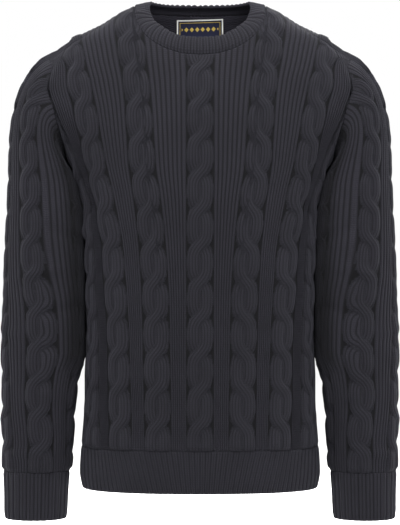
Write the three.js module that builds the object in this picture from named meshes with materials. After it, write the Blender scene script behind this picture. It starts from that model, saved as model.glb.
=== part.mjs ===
// Cable knit sweater, worn form without a wearer.
// Millimetres, Z up, front faces -Y. The origin is the middle of the neck opening.
import * as THREE from 'three';

// Driving dimensions
const SEAM_GAP = 0.3;
const WALL = 2.6;
const HEM_TOP = -594;
const HEM_BOTTOM = -652;
const YOKE = -90;
const CUFF_TOP = -629;
const CUFF_BOTTOM = -696;
const SLEEVE_HEAD = -238;

// Knit relief
const CABLE_HALF = 18.5;
const CELL_PERIOD = 50;
const CABLE_PERIOD = 48.6;
const CABLE_PHASE = -72.8;
const SLEEVE_PERIOD = 47.6;
const SLEEVE_PHASE = -594;
const CABLE_HIGH = 5;
const RIB_HIGH = 2;
const RIB_LOW = 0.2;
const PANEL_RIBS = 7;
const SIDE_RIBS = 4;
const SLEEVE_RIBS = 5;
const SLEEVE_CABLES = 5;
const FIRST_SLEEVE_CABLE = -3;
const SHEAR = 11;

// Wale numbers: whole numbers are cable centres, counted from the middle of the front
const K_SIDE = 3.75;
const K_NECK = 0.918;
const K_TIP = 2.6;
const K_ARM = 2.68;
const K_PRESS = 3.25;
const LAST_CABLE = 3;

const HEM_RIBS = 112;
const CUFF_RIBS = 27;
const COLLAR_RIBS = 60;
// How far the ribs lean inwards down the hem, in wale numbers
const HEM_LEAN = 0.267;
const BAND_RISE = 1.2;
const SLEEVE_INNER = 16;
const CAP_MARGIN = 7;
const CAP_STEPS = 24;
const CAP_RISE = 1.15;
const CAP_ARRIVE = 0.9;
const FADE = 30;
const EDGE_MARGIN = 5;
const RIB_MARGIN = 8;
const TOP_FADE = 28;
const FOLD_TOP = 15;
const FOLD_UNDER = 125;
const NECK_MIDDLE = -8;
const COLLAR_BULGE = 3;

// Strip where sleeve and torso press on each other, and the relief that is left there
const PRESS_TURN = 60;
const PRESS_TOP = -495;
const PRESS_SPAN = 25;
const PRESS_LEFT = 0.12;

const LABEL_WIDTH = 68;
const LABEL_THICK = 0.8;
const LABEL_TILT = 0.03;
const LABEL_COLUMNS = 8;
const LABEL_ROWS = [12, 3, -6, -15, -24];
const LABEL_OFF = WALL + 2;

// Slices of the torso: half width, depth forward and back, fullness of the curve,
// and how far out the first three wales stand
const TORSO = [
  { z: -660, half: 161, front: 115, back: 102, power: 2.4, x1: 57, x2: 109, x3: 146 },
  { z: -630, half: 166.5, front: 119, back: 106, power: 2.4, x1: 57, x2: 109, x3: 147 },
  { z: -594, half: 164.5, front: 117, back: 104, power: 2.4, x1: 57, x2: 109, x3: 146 },
  { z: -527, half: 160, front: 117, back: 104, power: 2.4, x1: 57.4, x2: 110, x3: 146.5 },
  { z: -459, half: 160, front: 118, back: 104, power: 2.4, x1: 58.7, x2: 111.7, x3: 147 },
  { z: -391, half: 160, front: 119, back: 105, power: 2.4, x1: 60, x2: 115.8, x3: 149 },
  { z: -323, half: 161, front: 121, back: 107, power: 2.4, x1: 64, x2: 121, x3: 151.5 },
  { z: -254, half: 164, front: 123, back: 110, power: 2.35, x1: 71, x2: 135, x3: 158 },
  { z: -210, half: 176, front: 122, back: 112, power: 2.3, x1: 78, x2: 144, x3: 171 },
  { z: -168, half: 198, front: 118, back: 113, power: 2.2, x1: 81, x2: 151, x3: 190 },
  { z: -126, half: 225, front: 111, back: 112, power: 2.05, x1: 84, x2: 158, x3: 212 },
  { z: -95, half: 231, front: 103, back: 110, power: 2, x1: 87, x2: 165, x3: 222 },
  { z: -63, half: 217, front: 93, back: 107, power: 2, x1: 92, x2: 172, x3: 214 },
  { z: -40, half: 197, front: 84, back: 103, power: 2, x1: 95, x2: 176, x3: 212 },
  { z: -28, half: 181, front: 79, back: 100, power: 2, x1: 97, x2: 178, x3: 212 },
  { z: -17, half: 159, front: 74, back: 97, power: 2, x1: 98, x2: 178, x3: 212 },
  { z: -6, half: 136.5, front: 69, back: 93, power: 2, x1: 99, x2: 178, x3: 212 },
  { z: 6, half: 118, front: 63, back: 88, power: 2, x1: 99, x2: 178, x3: 212 },
  { z: 17, half: 97, front: 58, back: 80, power: 2, x1: 99, x2: 178, x3: 212 },
  { z: 24, half: 80, front: 54, back: 70, power: 2, x1: 99, x2: 178, x3: 212 },
];

// Necklines: height of the collar seam by wale
const NECK_FRONT = [
  { k: 0, z: -56 }, { k: 0.216, z: -54.5 }, { k: 0.43, z: -49 }, { k: 0.644, z: -38 },
  { k: 0.773, z: -25.7 }, { k: 0.85, z: -12 }, { k: 0.89, z: -1 }, { k: 0.918, z: 19.6 },
];
const NECK_BACK = [
  { k: 0, z: 15 }, { k: 0.4, z: 15.3 }, { k: 0.7, z: 16 }, { k: 0.918, z: 19.6 },
];

// How far the shoulder seam lies below the ridge, on the front
const SHOULDER_DROP = [
  { k: 0.918, drop: 0 }, { k: 1.2, drop: 2 }, { k: 1.5, drop: 6 }, { k: 1.8, drop: 9 },
  { k: 2.1, drop: 10 }, { k: 2.4, drop: 16 }, { k: 2.6, drop: 28 },
];

// Armhole below the yoke, by wale
const ARMHOLE = [
  { k: 2.68, z: -90 }, { k: 2.71, z: -110 }, { k: 2.76, z: -130 }, { k: 2.85, z: -150 },
  { k: 3, z: -168 }, { k: 3.2, z: -182 }, { k: 3.45, z: -193 }, { k: 3.75, z: -199 },
];

// Slices of the left sleeve: centre, half width outside and inside, half depth,
// squareness of the inner half, clearance from the torso, turn of the front cable
const SLEEVE = [
  { z: -710, x: 230, y: -2, wide: 42.5, inner: 42.5, deep: 45, power: 2, clear: 8, turn: -12 },
  { z: -660, x: 229, y: -2, wide: 43.5, inner: 43.5, deep: 46, power: 2, clear: 8, turn: -12 },
  { z: -631, x: 228.5, y: -2, wide: 45, inner: 45, deep: 47, power: 2, clear: 8, turn: -11 },
  { z: -588, x: 227, y: -2, wide: 46.5, inner: 46, deep: 49, power: 2.1, clear: 8, turn: -9 },
  { z: -527, x: 224, y: -2, wide: 49, inner: 48, deep: 52, power: 2.3, clear: 8, turn: 0 },
  { z: -495, x: 221, y: -2, wide: 52, inner: 51, deep: 53, power: 2.5, clear: 6, turn: 2 },
  { z: -462, x: 218, y: -2, wide: 56, inner: 62, deep: 54, power: 2.8, clear: 2.8, turn: 4 },
  { z: -406, x: 216, y: -2, wide: 56, inner: 62, deep: 55, power: 2.8, clear: 2.6, turn: 8 },
  { z: -347, x: 215, y: -2, wide: 55, inner: 62, deep: 56, power: 2.8, clear: 2.6, turn: 17 },
  { z: -290, x: 215, y: -1, wide: 52.5, inner: 60, deep: 57, power: 2.8, clear: 4.6, turn: 21 },
  { z: -238, x: 217, y: 0, wide: 48, inner: 58, deep: 57, power: 2.8, clear: 7.5, turn: 22 },
];

// Upper edge of the collar, by angle round the neck from the front
const COLLAR_EDGE = [
  { deg: 0, x: 0, y: -74, z: -31 }, { deg: 20, x: 25, y: -72, z: -29 },
  { deg: 45, x: 54, y: -54, z: -13 }, { deg: 62, x: 65, y: -35, z: -2 },
  { deg: 90, x: 70.5, y: -4, z: 14 }, { deg: 115, x: 67, y: 26, z: 24 },
  { deg: 145, x: 43, y: 51, z: 28.5 }, { deg: 180, x: 0, y: 61, z: 29 },
];

// One period of a cable that crosses from lower left to upper right.
// v is the height and h the rise of the left strand, the middle and the right strand.
const CELL = [
  { lv: -12, lu: -7, lh: 1, mv: 0, mh: 1, rv: 12, ru: 7, rh: 1 },
  { lv: 2, lu: -9, lh: 0.3, mv: 11, mh: 0.3, rv: 22, ru: 9, rh: 1 },
  { lv: 14, lu: -9, lh: 0.95, mv: 25, mh: 0.35, rv: 36, ru: 9, rh: 0.95 },
  { lv: 28, lu: -9, lh: 1, mv: 39, mh: 0.3, rv: 48, ru: 9, rh: 0.3 },
];

// Courses at which the straight ribs and the plain inside have points
const COURSES = [-594, -450, -320, -245, -190, -140, -95, -65, -35, -5, 25, 52];
const SLEEVE_COURSES = [-629, -500, -380, -290, -235, -190, -145, -100, -55];

// Smooth curve through the rows of a table, without overshoot
function smooth(rows, from, to) {
  const xs = rows.map((row) => row[from]);
  const ys = rows.map((row) => row[to]);
  const last = xs.length - 1;
  const slopes = xs.slice(1).map((x, i) => (ys[i + 1] - ys[i]) / (x - xs[i]));
  const tangents = xs.map((x, i) => {
    if (i === 0) return slopes[0];
    if (i === last) return slopes[last - 1];
    const before = slopes[i - 1];
    const after = slopes[i];
    return before * after <= 0 ? 0 : (2 * before * after) / (before + after);
  });
  return (x) => {
    if (x <= xs[0]) return ys[0];
    if (x >= xs[last]) return ys[last];
    let i = 0;
    while (x > xs[i + 1]) i += 1;
    const step = xs[i + 1] - xs[i];
    const t = (x - xs[i]) / step;
    const t2 = t * t;
    const t3 = t2 * t;
    return (2 * t3 - 3 * t2 + 1) * ys[i] + (t3 - 2 * t2 + t) * step * tangents[i]
      + (3 * t2 - 2 * t3) * ys[i + 1] + (t3 - t2) * step * tangents[i + 1];
  };
}

function curves(rows, key) {
  const found = {};
  for (const name of Object.keys(rows[0])) {
    if (name !== key) found[name] = smooth(rows, key, name);
  }
  return found;
}

const torsoAt = curves(TORSO, 'z');
const sleeveAt = curves(SLEEVE, 'z');
const collarAt = curves(COLLAR_EDGE, 'deg');
const neckAt = { front: smooth(NECK_FRONT, 'k', 'z'), back: smooth(NECK_BACK, 'k', 'z') };
const shoulderDrop = smooth(SHOULDER_DROP, 'k', 'drop');
const armholeAt = smooth(ARMHOLE, 'k', 'z');

const clamp = (value, low, high) => Math.min(high, Math.max(low, value));
const mix = (a, b, t) => a + (b - a) * t;
const moved = (p, direction, distance) => p.clone().addScaledVector(direction, distance);

// How far out a wale stands on the slice at height z
function waleX(k, z) {
  const knots = [
    { k: 0, x: 0 }, { k: 1, x: torsoAt.x1(z) }, { k: 2, x: torsoAt.x2(z) }, { k: 3, x: torsoAt.x3(z) },
  ];
  return smooth(knots, 'k', 'x')(k);
}

// Slice angle of a wale: 0 in the middle of the front, a quarter turn at the side
function waleAngle(k, z) {
  const half = torsoAt.half(z);
  const turn = (x) => Math.asin(Math.min(1, x / half) ** (torsoAt.power(z) / 2));
  if (k <= 2) return turn(waleX(k, z));
  const knots = [
    { k: 2, a: turn(torsoAt.x2(z)) }, { k: 3, a: turn(torsoAt.x3(z)) }, { k: K_SIDE, a: Math.PI / 2 },
  ];
  return smooth(knots, 'k', 'a')(k);
}

// Point of the torso on wale k at height z, on the front or the back half
function torso(k, z, front) {
  const angle = waleAngle(Math.abs(k), z);
  const power = 2 / torsoAt.power(z);
  const x = torsoAt.half(z) * Math.sin(angle) ** power * Math.sign(k);
  const depth = front ? -torsoAt.front(z) : torsoAt.back(z);
  return new THREE.Vector3(x, depth * Math.max(0, Math.cos(angle)) ** power, z);
}

function level(x, y, z) {
  const power = torsoAt.power(z);
  const depth = y < 0 ? torsoAt.front(z) : torsoAt.back(z);
  return (Math.abs(x) / torsoAt.half(z)) ** power + (Math.abs(y) / depth) ** power;
}

function torsoNormal(p) {
  const step = 0.5;
  return new THREE.Vector3(
    level(p.x + step, p.y, p.z) - level(p.x - step, p.y, p.z),
    level(p.x, p.y + step, p.z) - level(p.x, p.y - step, p.z),
    level(p.x, p.y, p.z + step) - level(p.x, p.y, p.z - step),
  ).normalize();
}

// Height of the shoulder ridge above wale k
function ridge(k) {
  let low = YOKE;
  let high = TORSO[TORSO.length - 1].z;
  for (let i = 0; i < 40; i += 1) {
    const middle = (low + high) / 2;
    if (waleX(k, middle) < torsoAt.half(middle)) low = middle;
    else high = middle;
  }
  return low;
}

// Above the yoke a wale is followed by its length, over the ridge if it has one.
// Each entry is a point and the course there.
function upperWale(k, front) {
  const size = Math.abs(k);
  const path = [];
  if (size < K_NECK) {
    const steps = 40;
    const top = TORSO[TORSO.length - 1].z;
    for (let i = 0; i <= steps; i += 1) path.push(torso(k, mix(YOKE, top, i / steps), front));
  } else {
    const steps = 72;
    const top = ridge(size);
    const start = front ? -1 : 1;
    for (let i = 0; i <= steps; i += 1) {
      const turn = start * (1 - (2 * i) / steps);
      const z = mix(YOKE, top, Math.cos((turn * Math.PI) / 2));
      path.push(torso(k, z, turn < 0));
    }
  }
  let course = YOKE;
  return path.map((p, i) => {
    if (i > 0) course += p.distanceTo(path[i - 1]);
    return { p, course };
  });
}

function onPath(path, course) {
  const last = path.length - 1;
  let i = 0;
  while (i < last - 1 && path[i + 1].course < course) i += 1;
  const share = (course - path[i].course) / (path[i + 1].course - path[i].course);
  return path[i].p.clone().lerp(path[i + 1].p, share);
}

function walePoint(k, course, front) {
  if (course <= YOKE) return torso(k, course, front);
  return onPath(upperWale(k, front), course);
}

// First course of a path, from one end or the other, at height z
function courseAt(path, z, fromEnd) {
  const entries = fromEnd ? path.slice().reverse() : path;
  for (let i = 1; i < entries.length; i += 1) {
    const a = entries[i - 1];
    const b = entries[i];
    if (b.p.z >= z) return mix(a.course, b.course, (z - a.p.z) / (b.p.z - a.p.z));
  }
  return entries[entries.length - 1].course;
}

function tipCourse(size, front) {
  const path = upperWale(size, front);
  const seam = ridge(size) - shoulderDrop(size);
  return courseAt(path, seam, !front);
}
const TIP = { front: tipCourse(K_TIP, true), back: tipCourse(K_TIP, false) };

// Course at which a wale ends, at the neckline, the shoulder seam or the armhole
function topCourse(k, front) {
  const size = Math.abs(k);
  if (size < K_NECK) {
    return courseAt(upperWale(k, front), (front ? neckAt.front : neckAt.back)(size), false);
  }
  if (size <= K_TIP) return tipCourse(size, front);
  const tip = front ? TIP.front : TIP.back;
  if (size < K_ARM) return mix(tip, YOKE, (size - K_TIP) / (K_ARM - K_TIP));
  return armholeAt(size);
}

// Dense line along the upper edge of a panel, from the left side seam to the right one
function trimLine(front) {
  const spans = [
    { from: -K_SIDE, to: -K_ARM, steps: 36 }, { from: -K_ARM, to: -K_TIP, steps: 24 },
    { from: -K_TIP, to: -K_NECK, steps: 48 }, { from: -K_NECK, to: 0, steps: 48 },
    { from: 0, to: K_NECK, steps: 48 }, { from: K_NECK, to: K_TIP, steps: 48 },
    { from: K_TIP, to: K_ARM, steps: 24 }, { from: K_ARM, to: K_SIDE, steps: 36 },
  ];
  const line = [];
  let length = 0;
  for (const span of spans) {
    for (let i = 0; i <= span.steps; i += 1) {
      if (i === 0 && line.length) continue;
      const k = mix(span.from, span.to, i / span.steps);
      const p = walePoint(k, topCourse(k, front), front);
      if (line.length) length += p.distanceTo(line[line.length - 1].p);
      line.push({ k, p, length });
    }
  }
  return line;
}

const TRIM = { front: trimLine(true), back: trimLine(false) };

function along(line, key, value) {
  let i = 0;
  while (i < line.length - 2 && line[i + 1][key] < value) i += 1;
  const a = line[i];
  const b = line[i + 1];
  const share = clamp((value - a[key]) / (b[key] - a[key]), 0, 1);
  return { k: mix(a.k, b.k, share), length: mix(a.length, b.length, share), p: a.p.clone().lerp(b.p, share) };
}

// A station of a seam: its point, the outward normal there and the way into the panel
function station(k, front) {
  const line = front ? TRIM.front : TRIM.back;
  const here = along(line, 'k', k);
  const normal = torsoNormal(here.p);
  const reach = 2;
  const side = (p, q) => new THREE.Vector3().crossVectors(q.clone().sub(p), normal).normalize();
  const before = along(line, 'length', here.length - reach).p;
  const after = along(line, 'length', here.length + reach).p;
  const parts = [];
  if (here.length > reach) parts.push(side(before, here.p));
  if (here.length < line[line.length - 1].length - reach) parts.push(side(here.p, after));
  const inward = parts[0].clone();
  if (parts.length > 1) inward.add(parts[1]);
  inward.normalize().multiplyScalar(1 / Math.max(0.6, parts[0].dot(inward.clone().normalize())));
  if (!front) inward.negate();
  // At the side seam the panel lies below its edge
  if (inward.z > 0 && Math.abs(k) >= K_SIDE - 0.01) inward.negate();
  return { k, length: here.length, p: here.p, normal, inward };
}

// Millimetres between wale numbers, measured across the wales at a cable
function pitchTable(cable) {
  return COURSES.filter((z) => z <= YOKE - 5).concat([YOKE]).map((z) => {
    const step = 0.05;
    const a = torso(cable - step, z, true);
    const b = torso(cable + step, z, true);
    return { z, pitch: a.distanceTo(b) / (2 * step) };
  });
}
const PITCH = [0, 1, 2, 3].map((cable) => smooth(pitchTable(cable), 'z', 'pitch'));

const cableEdge = (cable, u, course) => cable + u / PITCH[Math.abs(cable)](Math.min(course, YOKE));

// A body of numbered points and triangles
class Shell {
  constructor(flip) {
    this.flip = flip;
    this.coordinates = [];
    this.faces = [];
  }

  point(p) {
    this.coordinates.push(p.x, p.y, p.z);
    return this.coordinates.length / 3 - 1;
  }

  face(a, b, c, reverse) {
    if (this.flip !== reverse) this.faces.push(a, c, b);
    else this.faces.push(a, b, c);
  }

  // Joins two lines of { id, key }, the second lying to the right of the first
  zip(left, right, reverse = false) {
    let i = 0;
    let j = 0;
    while (i < left.length - 1 || j < right.length - 1) {
      const stepLeft = j === right.length - 1
        || (i < left.length - 1 && left[i + 1].key <= right[j + 1].key);
      if (stepLeft) {
        this.face(left[i].id, right[j].id, left[i + 1].id, reverse);
        i += 1;
      } else {
        this.face(left[i].id, right[j].id, right[j + 1].id, reverse);
        j += 1;
      }
    }
  }

  mesh(name, color, mirrored = false) {
    const geometry = new THREE.BufferGeometry();
    const sign = mirrored ? -1 : 1;
    const coordinates = this.coordinates.map((value, i) => (i % 3 === 0 ? value * sign : value));
    const faces = this.faces.slice();
    if (mirrored) {
      for (let i = 0; i < faces.length; i += 3) [faces[i + 1], faces[i + 2]] = [faces[i + 2], faces[i + 1]];
    }
    geometry.setAttribute('position', new THREE.Float32BufferAttribute(coordinates, 3));
    geometry.setIndex(faces);
    geometry.computeVertexNormals();
    const material = new THREE.MeshStandardMaterial({ color, roughness: 0.95, side: THREE.DoubleSide });
    material.name = name;
    const mesh = new THREE.Mesh(geometry, material);
    mesh.name = name;
    return mesh;
  }
}

// Rows of one cable column between two courses
function strandRows(column, phase, period, bottom, top) {
  const rows = [];
  const first = Math.floor((bottom - phase) / period) - 1;
  const last = Math.ceil((top - phase) / period) + 1;
  for (let turn = first; turn <= last; turn += 1) {
    for (const cell of CELL) {
      const course = phase + turn * period + (cell[`${column}v`] * period) / CELL_PERIOD;
      if (course > bottom + EDGE_MARGIN - 1 && course < top - EDGE_MARGIN) {
        const u = column === 'm' ? 0 : cell[`${column}u`];
        rows.push({ course, u, rise: cell[`${column}h`] * CABLE_HIGH });
      }
    }
  }
  return rows;
}

// The five columns of a cable; a mirrored cable crosses the other way
function cableColumns(mirrored) {
  const sign = mirrored ? -1 : 1;
  const strand = (column, u) => ({ column, u: u * sign, sign });
  const columns = [strand('l', -8), strand('m', 0), strand('r', 8)];
  if (mirrored) columns.reverse();
  return [{ u: -CABLE_HALF }, ...columns, { u: CABLE_HALF }];
}

// Lists the columns of a panel's outer skin from left to right
function outerColumns() {
  const columns = [];
  const sideRibs = (sign) => {
    const lines = [];
    for (let j = 1; j < 2 * SIDE_RIBS; j += 1) {
      const share = j / (2 * SIDE_RIBS);
      lines.push({
        at: (course) => sign * mix(cableEdge(LAST_CABLE, CABLE_HALF, course), K_SIDE, share),
        rise: j % 2 ? RIB_HIGH : RIB_LOW,
      });
    }
    return lines;
  };
  columns.push({ at: () => -K_SIDE, rise: 0, seam: true });
  columns.push(...sideRibs(-1).reverse());
  for (let cable = -LAST_CABLE; cable <= LAST_CABLE; cable += 1) {
    for (const part of cableColumns(cable > 0)) {
      columns.push({ ...part, cable, at: (course) => cableEdge(cable, part.u, course), rise: 0 });
    }
    if (cable === LAST_CABLE) break;
    for (let j = 1; j < 2 * PANEL_RIBS; j += 1) {
      const share = j / (2 * PANEL_RIBS);
      columns.push({
        at: (course) => mix(
          cableEdge(cable, CABLE_HALF, course),
          cableEdge(cable + 1, -CABLE_HALF, course),
          share,
        ),
        rise: j % 2 ? RIB_HIGH : RIB_LOW,
      });
    }
  }
  columns.push(...sideRibs(1));
  columns.push({ at: () => K_SIDE, rise: 0, seam: true });
  return columns;
}

function innerColumns() {
  const columns = [{ at: () => -K_SIDE, rise: -WALL, seam: true }];
  for (let step = -12; step <= 12; step += 1) {
    if (step % 2 === 0 || Math.abs(step) === 1) columns.push({ at: () => step / 4, rise: -WALL });
  }
  columns.push({ at: () => K_SIDE, rise: -WALL, seam: true });
  return columns;
}

function endCourse(column, front) {
  let low = HEM_TOP;
  let high = 140;
  for (let i = 0; i < 30; i += 1) {
    const middle = (low + high) / 2;
    if (middle < topCourse(column.at(middle), front)) low = middle;
    else high = middle;
  }
  return low;
}

// Adds the points of one column and returns its line, bottom to top
function columnLine(shell, column, front) {
  const top = endCourse(column, front);
  const depthSign = front ? -1 : 1;
  // The relief sinks towards the armhole, where the sleeve lies close
  const fade = (course, k) => {
    const beside = clamp((K_TIP + 0.02 - Math.abs(k)) / 0.12, 0.1, 1);
    const side = pressed(course, (Math.abs(k) - K_PRESS) / 0.12);
    if (top < YOKE) return side * clamp((top - course) / FADE, 0.1, 1);
    return Math.min(course > YOKE - FADE ? beside : 1, clamp((top - course) / TOP_FADE, 0.05, 1));
  };
  const seamShift = (p) => {
    if (column.seam) p.y += (depthSign * SEAM_GAP) / 2;
    return p;
  };
  const line = [];
  const add = (course, k, rise) => {
    const p = walePoint(k, course, front);
    const placed = seamShift(moved(p, torsoNormal(p), rise > 0 ? rise * fade(course, k) : rise));
    line.push({ id: shell.point(placed), key: course, k });
  };
  const bottom = HEM_TOP + SEAM_GAP / 2;
  const endRise = column.rise < 0 ? column.rise : 0;
  add(bottom, column.at(bottom), column.column ? CABLE_HIGH * 0.4 : column.rise);
  if (column.column) {
    for (const row of strandRows(column.column, CABLE_PHASE, CABLE_PERIOD, HEM_TOP, top)) {
      add(row.course, cableEdge(column.cable, row.u * column.sign, row.course), row.rise);
    }
  } else {
    for (const course of COURSES) {
      if (course > HEM_TOP && course < top - RIB_MARGIN) add(course, column.at(course), column.rise);
    }
  }
  const k = column.at(top);
  const end = station(k, front);
  const placed = moved(moved(end.p, end.inward, SEAM_GAP / 2), end.normal, endRise);
  line.push({ id: shell.point(seamShift(placed)), key: top, k, length: end.length, end });
  return line;
}

// Stations on the trim between two columns, no further apart than the spacing
function between(a, b, spacing, front) {
  const line = front ? TRIM.front : TRIM.back;
  const marks = [-K_ARM, -K_TIP, -K_NECK, K_NECK, K_TIP, K_ARM]
    .filter((k) => k > a.k + 0.004 && k < b.k - 0.004)
    .map((k) => along(line, 'k', k).length);
  const stops = [a.length, ...marks, b.length];
  const lengths = [];
  for (let i = 1; i < stops.length; i += 1) {
    const count = Math.max(1, Math.ceil((stops[i] - stops[i - 1]) / spacing));
    for (let j = 1; j < count; j += 1) lengths.push(mix(stops[i - 1], stops[i], j / count));
    if (i < stops.length - 1) lengths.push(stops[i]);
  }
  return lengths.map((length) => station(along(line, 'length', length).k, front));
}

// Builds a skin of column strips that ends on the trim; returns its four edges
function skin(shell, columns, front, spacing, reverse) {
  const lines = columns.map((column) => columnLine(shell, column, front));
  const top = [lines[0][lines[0].length - 1]];
  for (let i = 1; i < lines.length; i += 1) {
    const left = lines[i - 1];
    const right = lines[i];
    const a = left[left.length - 1];
    const b = right[right.length - 1];
    const extra = between(a, b, spacing, front).map((end) => {
      const rise = columns[i].rise < 0 ? columns[i].rise : 0;
      const p = moved(moved(end.p, end.inward, SEAM_GAP / 2), end.normal, rise);
      const course = topCourse(end.k, front);
      return { id: shell.point(p), key: course, k: end.k, length: end.length, end };
    });
    const sheared = columns[i - 1].column && columns[i].column;
    const keyed = (line, column) => line.map((entry) => {
      const shear = sheared ? (SHEAR * column.u * column.sign) / 8 : 0;
      return { ...entry, key: entry.key - shear };
    });
    // The stations between carry on the shorter column
    const longLeft = a.key <= b.key ? left.concat(extra) : left;
    const longRight = a.key <= b.key ? right : right.concat(extra.slice().reverse());
    shell.zip(keyed(longLeft, columns[i - 1]), keyed(longRight, columns[i]), reverse);
    top.push(...extra, b);
  }
  return { lines, top, bottom: lines.map((line) => line[0]), left: lines[0], right: lines[lines.length - 1] };
}

const byKey = (entries, key) => entries.map((entry) => ({ id: entry.id, key: entry[key] }));

function panel(front) {
  const shell = new Shell(!front);
  const outer = skin(shell, outerColumns(), front, 12, false);
  const inner = skin(shell, innerColumns(), front, 18, true);
  shell.zip(byKey(outer.left, 'key'), byKey(inner.left, 'key'), true);
  shell.zip(byKey(outer.right, 'key'), byKey(inner.right, 'key'));
  shell.zip(byKey(outer.top, 'length'), byKey(inner.top, 'length'), true);
  shell.zip(byKey(outer.bottom, 'k'), byKey(inner.bottom, 'k'));
  return { shell, outerTop: outer.top, innerTop: inner.top };
}

const frontPanel = panel(true);
const backPanel = panel(false);

// Joins two closed rings of { id, key } whose keys run once round in a full turn
function ringZip(shell, lower, upper, turn, reverse) {
  const sorted = upper.slice().sort((a, b) => a.key - b.key);
  let start = 0;
  sorted.forEach((entry, i) => {
    if (Math.abs(entry.key - lower[0].key) < Math.abs(sorted[start].key - lower[0].key)) start = i;
  });
  const turned = sorted.slice(start)
    .concat(sorted.slice(0, start).map((entry) => ({ id: entry.id, key: entry.key + turn })));
  const close = (ring) => ring.concat([{ id: ring[0].id, key: ring[0].key + turn }]);
  shell.zip(close(turned), close(lower), reverse);
}

// Points of a closed band, row by row; rows may differ in rise, columns are shared
function bandRows(shell, columns, rows, pointAt) {
  return rows.map((row) => columns.map((column) => ({
    id: shell.point(pointAt(column, row)), key: column.key,
  })));
}

const closed = (ring, turn) => ring.concat([{ id: ring[0].id, key: ring[0].key + turn }]);

function joinRows(shell, rings, turn, reverse) {
  for (let i = 1; i < rings.length; i += 1) {
    shell.zip(closed(rings[i], turn), closed(rings[i - 1], turn), reverse);
  }
}

const degrees = (angle) => (angle * Math.PI) / 180;

// Left sleeve. The turn is 0 at the front and grows towards the torso.
// The half beside the torso is squarer, and is pressed flat along it.
function sleeveTube(turn, z) {
  const across = Math.sin(degrees(turn));
  const ahead = Math.cos(degrees(turn));
  const bend = across > 0 ? 2 / sleeveAt.power(z) : 1;
  const wide = across > 0 ? sleeveAt.inner(z) : sleeveAt.wide(z);
  const x = -sleeveAt.x(z) + wide * Math.sign(across) * Math.abs(across) ** bend;
  const y = sleeveAt.y(z) - sleeveAt.deep(z) * Math.sign(ahead) * Math.abs(ahead) ** bend;
  const depth = y < 0 ? torsoAt.front(z) : torsoAt.back(z);
  const power = torsoAt.power(z);
  const side = torsoAt.half(z) * Math.max(0, 1 - (Math.abs(y) / depth) ** power) ** (1 / power);
  return new THREE.Vector3(Math.min(x, -side - sleeveAt.clear(z)), y, z);
}

// How much of the relief is left where sleeve and torso press on each other
function pressed(course, beside) {
  const low = clamp((course - PRESS_TOP) / PRESS_SPAN, 0, 1);
  return 1 - (1 - PRESS_LEFT) * low * clamp(beside, 0, 1);
}

// Armhole stations of both panels as one ring, from the underarm over the back and the
// shoulder and down the front, each with its turn on the sleeve
function armRing(frontTop, backTop) {
  const limit = -K_TIP + 0.0001;
  const fromBack = backTop.filter((entry) => entry.k <= limit);
  const fromFront = frontTop.filter((entry) => entry.k < limit - 0.001).reverse();
  const ring = fromBack.concat(fromFront).map((entry) => entry.end);
  ring.pop();
  const count = ring.length;
  const lengths = [0];
  for (let i = 1; i <= count; i += 1) {
    lengths.push(lengths[i - 1] + ring[i % count].p.distanceTo(ring[i - 1].p));
  }
  let high = 0;
  ring.forEach((entry, i) => {
    if (entry.p.z > ring[high].p.z) high = i;
  });
  return ring.map((entry, i) => {
    const next = ring[(i + 1) % count].p;
    const before = ring[(i + count - 1) % count].p;
    const inward = new THREE.Vector3().crossVectors(entry.normal, next.clone().sub(before)).normalize();
    if (inward.dot(entry.inward) < 0) inward.negate();
    const turn = i <= high
      ? mix(-270, -90, lengths[i] / lengths[high])
      : mix(-90, 90, (lengths[i] - lengths[high]) / (lengths[count] - lengths[high]));
    return { p: entry.p, normal: entry.normal, inward, turn };
  });
}

// How sharply the sleeve folds away from the body, in degrees
function foldAt(turn) {
  const under = (1 + Math.sin(degrees(turn))) / 2;
  return FOLD_TOP + (FOLD_UNDER - FOLD_TOP) * under * under;
}

function sleeveStart(entry) {
  const fold = degrees(foldAt(entry.turn));
  const { normal, inward } = entry;
  const apart = inward.clone().multiplyScalar(-Math.cos(fold / 2))
    .addScaledVector(normal, Math.sin(fold / 2));
  const leaving = inward.clone().multiplyScalar(-Math.cos(fold)).addScaledVector(normal, Math.sin(fold));
  const outward = normal.clone().multiplyScalar(Math.cos(fold)).addScaledVector(inward, Math.sin(fold));
  return { p: moved(entry.p, apart, SEAM_GAP * 0.8), leaving, outward, turn: entry.turn };
}

const outerArm = armRing(frontPanel.outerTop, backPanel.outerTop).map(sleeveStart);
const innerArm = armRing(frontPanel.innerTop, backPanel.innerTop).map(sleeveStart);

function armAt(turn) {
  const wrapped = ((((turn + 270) % 360) + 360) % 360) - 270;
  const ring = outerArm;
  let i = ring.length - 1;
  while (i > 0 && ring[i].turn > wrapped) i -= 1;
  const a = ring[i];
  const b = ring[(i + 1) % ring.length];
  const end = i === ring.length - 1 ? 90 : b.turn;
  const share = (wrapped - a.turn) / (end - a.turn);
  return {
    p: a.p.clone().lerp(b.p, share),
    leaving: a.leaving.clone().lerp(b.leaving, share).normalize(),
    outward: a.outward.clone().lerp(b.outward, share).normalize(),
  };
}

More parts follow.
